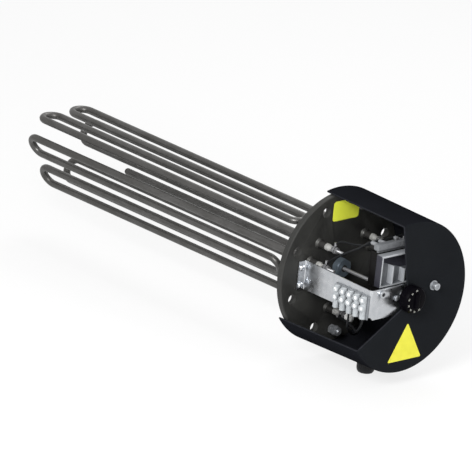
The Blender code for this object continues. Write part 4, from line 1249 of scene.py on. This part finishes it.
@dataclass
class Hood:
    """The hood with its wedge sawn out, its screw and its plain sticker."""

    overhang: float = 13.0
    wall: float = 2.0
    draft: float = 0.9
    edge: float = 2.5
    cut_start: float = 102.0
    cut_end: float = 216.0
    cut_drop: float = 8.7
    gland: float = 60.0
    sticker_radius: float = 31.0
    sticker_height: float = 44.6
    sticker_place: Pair = (3.9, -76.0)
    screw_head: tuple[Pair, ...] = (
        (5.6, 0), (5.8, 0.2), (5.8, 1.1), (5.5, 1.4),
        (4.3, 1.4), (4.3, 6.6), (4.0, 7.2), (3.5, 7.4), (2.0, 7.4),
    )

    def inner(self, height: float) -> float:
        """Inner radius at a height in front of the flange."""
        return FLANGE_RADIUS + GAP - height * math.tan(math.radians(self.draft))

    def cuts(self) -> list[tuple[float, float, int]]:
        """The two cuts. The lower one ends on the rim at its own angle and passes below the axis.

        Returns:
            Each cut's angle, its height where it passes the axis, and the side that is sawn out.
        """
        x, y = polar(FLANGE_RADIUS + GAP + self.wall, self.cut_end)
        lower = math.degrees(math.atan2(-(y + self.cut_drop), -x)) + 180
        return [(self.cut_start, 0.0, 1), (lower, -self.cut_drop, -1)]

    def build(self) -> None:
        """Makes the hood, its screw and its sticker."""
        rim, face, wall, edge = -self.overhang, HOOD_REACH, self.wall, self.edge
        inside, below = face - HOOD_FACE_WALL, face - edge - 1.5
        corner, bend = self.inner(face) + wall - edge, self.inner(inside) - edge / 2
        profile = [
            (0.5, face), (corner - 1.5, face), *reversed(arc((corner, face - edge), edge, 0, 90, 8)),
            (self.inner(below) + wall, below), (self.inner(rim + 1) + wall, rim + 1),
            (self.inner(rim) + wall - 0.3, rim), (self.inner(rim) + 0.3, rim),
            (self.inner(rim + 1), rim + 1), (self.inner(inside - 3), inside - 3),
            *arc((bend, inside - edge / 2), edge / 2, 0, 90, 6), (bend - 1.5, inside), (0.5, inside),
        ]
        shell = turned(profile, 288, True)
        wedge = bar(130, rim - 5, face + 5, sides=64)
        for angle, height, sign in self.cuts():
            x, y = polar(-sign, angle + 90)
            sliced(wedge, (0, height, 0), (x, y, 0))
        through = (inside - 4, face + 4)
        holes = [bar(5.0, *through, sides=64), bar(2.4, *through, HOOD_SCREW, 32)]
        gland_way = bar(8.2, -110, -75, (0, self.gland), 64, Along.Y)
        soften(combine(shell, Way.CUT, wedge, *holes, gland_way), 0.3)
        settle(shell, "hood_shell", WALL_ABS, "hood", angle=SMOOTH_LOW)
        self.shade(shell)
        self.fixing()
        self.sticker()

    def shade(self, shell: Piece) -> None:
        """Gives the front and the faces along both cuts their own finishes.

        Args:
            shell: The hood, in the model's frame.
        """
        front, sawn = 1, 2
        for finish in (HOOD_ABS, SAWN_ABS):
            shell.data.materials.append(finish.build())
        planes = []
        for angle, height, _ in self.cuts():
            x, z = polar(1, angle + 90)
            planes.append((Vector((0, 0, height * MM)), Vector((x, 0, z))))
        for face in shell.data.polygons:
            if face.normal.y < -0.7:
                face.material_index = front
            for start, across in planes:
                near = abs((face.center - start).dot(across)) < 0.5 * MM
                if near and abs(face.normal.dot(across)) > 0.97:
                    face.material_index = sawn

    def fixing(self) -> None:
        """The collared cap screw in the hood's face, with a shallow hexagon socket."""
        seat = HOOD_REACH + 0.15
        head = turned([(radius, seat + height) for radius, height in self.screw_head], 64)
        combine(head, Way.CUT, bar(2.3, seat + 6.9, seat + 9, sides=6))
        screw = joined([head, bar(1.95, seat - 8.8, seat + 0.5, sides=24)])
        settle(put(screw, (*HOOD_SCREW, 0)), "hood_fixing_screw", DULL_SCREW, "hood_screw")

    def sticker(self) -> None:
        """A plain yellow sticker with three sides, nothing printed on it."""
        film = bar(self.sticker_radius, -0.06, 0.06, sides=3)
        film.scale = (0.985, self.sticker_height / (1.5 * self.sticker_radius), 1)
        x, low = self.sticker_place
        put(film, (x, low + self.sticker_height / 3, HOOD_REACH + 0.1))
        settle(round_corners(film, 2.6), "plain_sticker", YELLOW_FILM)


@dataclass
class Knob:
    """The fluted knob with its dial and the shaft under it."""

    radius: float = 16.0
    height: float = 13.0
    base: float = 115.0
    flutes: int = 24
    dial: float = 12.4
    dial_angles: tuple[int, ...] = (95, 130, 165, 200, 230, 262, 296)
    first_number: int = 20
    number_step: int = 10
    number_size: float = 2.9

    def build(self) -> None:
        """Makes the knob, its numbers and the shaft."""
        r, low, high = self.radius, self.base, self.base + self.height
        profile = [
            (r - 0.6, low), (r, low + 0.6), (r, high - 4.2), (r - 0.5, high - 3.0),
            (r - 1.0, high - 1.4), (r - 1.6, high - 0.5), (r - 2.6, high), (2.0, high),
        ]
        body = turned(profile, 144)
        spots = [polar(r + 0.25, 360 * k / self.flutes) for k in range(self.flutes)]
        combine(body, Way.CUT, joined([bar(0.75, low + 1.6, high + 1, spot, 16) for spot in spots]))
        combine(body, Way.JOIN, box((-3.0, -8.4, high - 2), (3.0, 8.4, high + 2.5), 1.1, 4))
        combine(body, Way.CUT, bar(3.2, low - 1, low + 11.3, sides=40))
        settle(soften(body, 0.15, 1), "dial_knob", KNOB_PHENOLIC, "knob", CONTROL)
        self.numbers(high)
        shaft = turned([(2.7, 95.8), (3.0, 96.1), (3.0, low + 10.4), (2.5, low + 10.9)], 48)
        combine(shaft, Way.CUT, box((-4, 2.2, 112.3), (4, 5, low + 12)))
        settle(shaft, "shaft", NICKEL, "thermostat_shaft", CONTROL)

    def numbers(self, high: float) -> None:
        """Plain numbers round the dial, from the top over the left to the bottom.

        Args:
            high: The height of the knob's front face.
        """
        figures = []
        for k, angle in enumerate(self.dial_angles):
            text = added(bpy.ops.object.text_add).data
            text.body = str(self.first_number + self.number_step * k)
            text.size = self.number_size * MM
            text.align_x = text.align_y = "CENTER"
            text.extrude = 0.05 * MM
            bpy.ops.object.convert(target="MESH")
            spot = (*polar(self.dial, angle), high + 0.03)
            figures.append(put(bpy.context.object, spot, (0, 0, angle - 90)))
        settle(joined(figures), "dial_numbers", DIAL_PRINT, body=CONTROL)


@dataclass
class Gland:
    """The cable gland under the hood. It is modelled pointing down from the hood's wall."""

    position: float = 60.0
    wall: float = 91.36
    hexagon: float = 11.0
    hexagon_height: float = 4.5
    dome: float = 10.5

    def hang(self, piece: Piece, name: str, finish: Finish, node: str) -> None:
        """Stands a piece made along Z under the hood, pointing down, and settles it."""
        settle(put(piece, (0, -self.wall, self.position), (90, 0, 0)), name, finish, node)

    def build(self) -> None:
        """Makes the body, dome nut, seal and locknut."""
        end = GAP + self.hexagon_height
        thread_end, start, r = end + 7.0, end + GAP, self.dome
        shut, top, low = thread_end + GAP, start + 11.5, thread_end - 4.7
        body = nut(self.hexagon, GAP, self.hexagon_height)
        combine(body, Way.JOIN, thread(7.9, end - 1, thread_end, 1.5), thread(7.9, -9.0, GAP + 1, 1.5))
        combine(body, Way.CUT, bar(5.2, -12, 20), bar(6.5, thread_end - 5, 20))
        self.hang(body, "gland_thread_body", GLAND_PA, "gland_body")
        profile = [
            (4.8, top), (r * 0.72, top), (r * 0.84, top - 0.5), (r * 0.93, top - 2.0),
            (r * 0.98, top - 3.6), (r, top - 5.4), (r, start + 0.4), (r - 0.4, start),
            (8.1, start), (8.1, shut), (6.5, shut), (4.8, top - 2.2),
        ]
        ribs = [bar(0.55, start + 0.8, top - 5.8, polar(r + 0.12, 15 * k), 12) for k in range(24)]
        dome = combine(turned(profile, 96, True), Way.CUT, joined(ribs))
        self.hang(dome, "dome_nut", GLAND_PA, "gland_dome_nut")
        seal = [(3.7, low), (6.2, low), (6.2, shut), (4.4, shut), (3.7, thread_end - 1)]
        self.hang(turned(seal, 64, True), "seal_ring", NITRILE, "gland_seal")
        low_z, high_z = (corner[2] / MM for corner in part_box("gland_locknut"))
        locknut = nut(11.5, -high_z - self.wall, high_z - low_z)
        combine(locknut, Way.CUT, bar(8.05, -30, 30, sides=64))
        self.hang(locknut, "locknut", GLAND_PA, "gland_locknut")


@dataclass
class EarthStud:
    """The earth stud with two nuts and a washer."""

    place: Pair = (-2.0, -75.0)

    def build(self) -> None:
        """Makes the stud as one piece."""
        nuts = [nut(5.8, start, 4.5) for start in (0.6, 8.1)]
        stud = joined([thread(3.0, -5.5, 15.0, 1.0), *nuts, ring(3.0, 6.2, 7.1, 7.9, 48)])
        settle(put(stud, (*self.place, 0)), "earth_terminal", DULL_SCREW, "earth_stud")


@dataclass(frozen=True)
class Lead:
    """One element lead: its terminal, the way it leaves its ring, its far end and its points.

    The far end is the x of a socket or, for a lead to the block, the number of a pole.
    A point's third number is its share of the way from the ring to the far end.
    """

    name: str
    end: str
    way: Pair
    target: int
    points: tuple[Triple, ...]
    to_pole: bool = False


@dataclass
class Leads:
    """The six element leads with their ring lugs and sleeves."""

    radius: float = 1.3
    ring_front: float = 26.6
    ring_thickness: float = 1.0
    ring: float = 4.4
    socket_end: float = 91.8
    socket_y: float = 59.0
    entry: float = 75.8
    sleeve: float = 2.4
    sleeve_ends: Pair = (76.5, 87.5)
    leads: tuple[Lead, ...] = (
        Lead(
            "top_left", "top_b", (0, 1), -18,
            ((-35.5, 43, 0.03), (-33, 46.5, 0.18), (-30, 48, 0.5), (-24, 51.5, 0.8)),
        ),
        Lead(
            "left_upper", "left_a", (0, 1), -30,
            ((-47, 23, 0.06), (-46.5, 31, 0.25), (-44.5, 40, 0.5), (-38, 49.5, 0.78)),
        ),
        Lead("top_right", "top_a", (-1, 0), 6, ((27, 35, 0.05), (18, 40, 0.3), (10, 49, 0.62))),
        Lead("right_upper", "right_b", (0, 1), 30, ((46, 29, 0.08), (43, 42, 0.35), (37, 52, 0.68))),
        Lead(
            "right_lower", "right_a", (0, -1), 2,
            ((11, -57, 0.13), (-8, -61, 0.42), (-28, -57, 0.66), (-46, -47, 0.85), (-58, -37, 0.97)),
            to_pole=True,
        ),
        Lead(
            "left_lower", "left_b", (-1, 0), 4,
            ((-22, -47.5, 0.07), (-32, -44, 0.33), (-44, -41, 0.62), (-56, -38, 0.87)),
            to_pole=True,
        ),
    )

    def route(self, lead: Lead, block: TerminalBlock, start: Triple) -> list[Triple]:
        """The points of one lead.

        Args:
            lead: The lead.
            block: The terminal block.
            start: Where it leaves its ring.

        Returns:
            The points, from the ring to the socket or the pole.
        """
        if lead.to_pole:
            depth, low = block.places()[lead.target], block.top - block.height
            far = [(block.axis, low + inside, depth) for inside in (-6, 5)]
        else:
            depth = self.entry
            far = [(lead.target, self.socket_y, z) for z in (self.entry, self.socket_end)]
        rise = depth - start[2]
        return [start, *((x, y, start[2] + share * rise) for x, y, share in lead.points), *far]

    def build(self, ends: dict[str, Pair], block: TerminalBlock) -> None:
        """Makes each lead, its lug and the sleeve on its other end.

        Args:
            ends: Where the terminal studs stand.
            block: The terminal block that two leads enter.
        """
        out, middle = self.ring + 0.2, self.ring_front - self.ring_thickness / 2
        for lead in self.leads:
            (x, y), (along, up) = ends[lead.end], lead.way
            route = self.route(lead, block, (x + along * out, y + up * out, middle))
            wire = tube(smooth_route(route, 10), self.radius)
            settle(wire, f"wire_lead_{lead.name}", LEAD_SILICONE, f"lead_{lead.name}")
            self.lug(lead.name, (x, y), lead.way)
            if not lead.to_pole:
                self.end_sleeve(lead.name, lead.target)

    def end_sleeve(self, name: str, x: float) -> None:
        """The ribbed sleeve on a lead behind the strip.

        Args:
            name: The lead's name.
            x: The socket's place.
        """
        (low, high), r, bore = self.sleeve_ends, self.sleeve, self.radius + 0.1
        profile = [(bore, low), (r - 0.5, low), (r - 0.15, low + 0.5)]
        rung = low + 1.5
        while rung < high - 1.5:
            profile += [(r - 0.15, rung), (r, rung + 0.35), (r, rung + 0.9), (r - 0.15, rung + 1.2)]
            rung += 2.2
        profile += [(r - 0.15, high - 0.5), (r - 0.4, high), (bore, high)]
        settle(turned(profile, 40, True, (x, self.socket_y)), f"sleeve_{name}", SHRUNK_SLEEVE)

    def lug(self, name: str, place: Pair, way: Pair) -> None:
        """A ring lug: the ring, its tongue and the crimped barrel on the wire.

        Args:
            name: The lead's name.
            place: Where the ring sits.
            way: The direction of its tongue.
        """
        back, front, r = self.ring_front - self.ring_thickness, self.ring_front, self.ring
        profile = [(2.3, back), (r - 0.2, back), (r, back + 0.2)]
        profile += [(r, front - 0.2), (r - 0.2, front), (2.3, front)]
        eye = turned(profile, 48, True, place)
        (x, y), (along, up), half = place, way, 1.5
        xs = [x + along * d + up * s for d in (3.4, 6.6) for s in (-half, half)]
        ys = [y + up * d + along * s for d in (3.4, 6.6) for s in (-half, half)]
        tongue = box((min(xs), min(ys), back + 0.1), (max(xs), max(ys), front - 0.1), 0.2)
        run = [(x + along * d, y + up * d, (back + front) / 2) for d in (5.2, 6.4, 8.2, 9.4)]
        settle(joined([eye, tongue, tube(run, 1.75)]), f"lug_{name}", DRAWN_STEEL)


@dataclass
class FlangeLabel:
    """The plain lime film on the flange."""

    low: Triple = (-18.5, 56.5, 0.02)
    high: Triple = (22.5, 80.5, 0.18)

    def build(self) -> None:
        """Makes the film."""
        settle(round_corners(box(self.low, self.high), 3.5), "label_film", LIME_FILM)


# The picture, in metres


@dataclass
class Studio:
    """The camera at the photograph's angle, soft lamps, a pale floor and a white world."""

    grey_sky: float = 0.45
    back: Triple = (-0.6743, -0.6604, 0.3305)
    right: Triple = (0.6997, -0.7145, 0.0)
    up: Triple = (0.2361, 0.2312, 0.9438)
    roll: Pair = (0.99396, 0.10973)
    offset: Pair = (-0.1171, 0.0338)
    width: float = 0.5364
    lens: float = 1200.0
    floor: float = -0.1085
    lamps: tuple[tuple[str, Triple, Triple, float, float], ...] = (
        ("key", (-1.1, -0.9, 1.3), (0, 0, 0), 0.9, 7),
        ("opening", (-1.25, -0.6, 0.75), (0, 0, 0), 0.5, 23),
        ("fill", (-0.2, -1.6, 0.5), (0, -0.05, 0), 1.0, 3),
        ("rim", (0.9, 0.6, 1.2), (0, 0.1, 0), 0.8, 9),
    )

    def camera(self) -> None:
        """Adds the camera with a very long lens."""
        level, tilt = self.roll
        flat, tall = Vector(self.right), Vector(self.up)
        right, up = (level * flat + tilt * tall).normalized(), (level * tall - tilt * flat).normalized()
        back = Vector(self.back).normalized()
        centre = Vector((0, -FLANGE_THICKNESS * MM, 0)) + self.offset[0] * right + self.offset[1] * up
        data = bpy.data.cameras.new("camera")
        data.lens = self.lens
        data.sensor_width = SENSOR_WIDTH
        data.clip_end = 100
        camera = bpy.data.objects.new("camera", data)
        bpy.context.scene.collection.objects.link(camera)
        distance = self.width * self.lens / SENSOR_WIDTH
        turn = camera.matrix_world.copy()
        for row in range(3):
            turn[row][:] = right[row], up[row], back[row], centre[row] + back[row] * distance
        camera.matrix_world = turn
        bpy.context.scene.camera = camera

    def lamp(self, name: str, place: Triple, aim: Triple, size: float, power: float) -> None:
        """Adds a soft square lamp.

        Args:
            name: Its name.
            place: Where it stands.
            aim: The point that it faces.
            size: Its side.
            power: Its power in watts.
        """
        data = bpy.data.lights.new(name, "AREA")
        data.shape = "SQUARE"
        data.size = size
        data.energy = power
        lamp = bpy.data.objects.new(name, data)
        lamp.location = place
        lamp.rotation_euler = (Vector(aim) - Vector(place)).to_track_quat("-Z", "Y").to_euler()
        bpy.context.scene.collection.objects.link(lamp)

    def seen(self, tree: Tree, low: float, high: float) -> Socket:
        """A value that is high for rays from the camera or a mirror and low for the rest.

        Args:
            tree: The node tree.
            low: The low value.
            high: The high value.

        Returns:
            The value's socket.
        """
        path = add_node(tree, "LightPath", {}).outputs
        rays = {0: path["Is Camera Ray"], 1: path["Is Glossy Ray"]}
        either = add_node(tree, "Math", rays, operation="MAXIMUM").outputs["Value"]
        ends = {"Value": either, "To Min": low, "To Max": high}
        return add_node(tree, "MapRange", ends).outputs["Result"]

    def world(self) -> None:
        """A dim even sky that the camera and mirrors see as white."""
        world = bpy.data.worlds.new("studio")
        bpy.context.scene.world = world
        world.use_nodes = True
        shade = world.node_tree.nodes["Background"]
        shade.inputs["Color"].default_value = (1, 1, 1, 1)
        world.node_tree.links.new(self.seen(world.node_tree, self.grey_sky, 1.0), shade.inputs["Strength"])

    def ground(self) -> None:
        """A pale floor that keeps a soft shadow and is otherwise white to the camera."""
        floor = added(bpy.ops.mesh.primitive_plane_add, size=40, location=(0, 0, self.floor))
        floor.name = "floor"
        made = bpy.data.materials.new("white_floor")
        made.use_nodes = True
        tree = made.node_tree
        shader = tree.nodes["Principled BSDF"]
        shader.inputs["Base Color"].default_value = linear("#f2f2f2")
        shader.inputs["Roughness"].default_value = 0.9
        glow = add_node(tree, "Emission", {"Color": (1, 1, 1, 1), "Strength": 1.0})
        shades = {0: self.seen(tree, 0.0, 0.78), 1: shader.outputs["BSDF"], 2: glow.outputs["Emission"]}
        mix = add_node(tree, "MixShader", shades)
        tree.links.new(mix.outputs["Shader"], tree.nodes["Material Output"].inputs["Surface"])
        floor.data.materials.append(made)

    def build(self) -> None:
        """Sets up the camera, lamps, world and floor."""
        self.camera()
        self.world()
        self.ground()
        for name, place, aim, size, power in self.lamps:
            self.lamp(name, place, aim, size, power)
        bpy.context.scene.view_settings.view_transform = "Standard"


def main() -> None:
    """Loads the model, dresses each sub-assembly in order and sets up the picture."""
    logging.basicConfig(level=logging.INFO, format="%(name)s %(message)s")
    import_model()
    elements, bracket, block = Elements(), Bracket(), TerminalBlock()
    ends = elements.ends()
    elements.build()
    Flange().build(ends, bracket.screws())
    Terminals().build(ends)
    Pocket().build()
    bracket.build()
    Thermostat().build()
    block.build()
    Leads().build(ends, block)
    for kind in (Hood, Knob, Gland, EarthStud, FlangeLabel, Studio):
        kind().build()


if __name__ == "__main__":
    main()
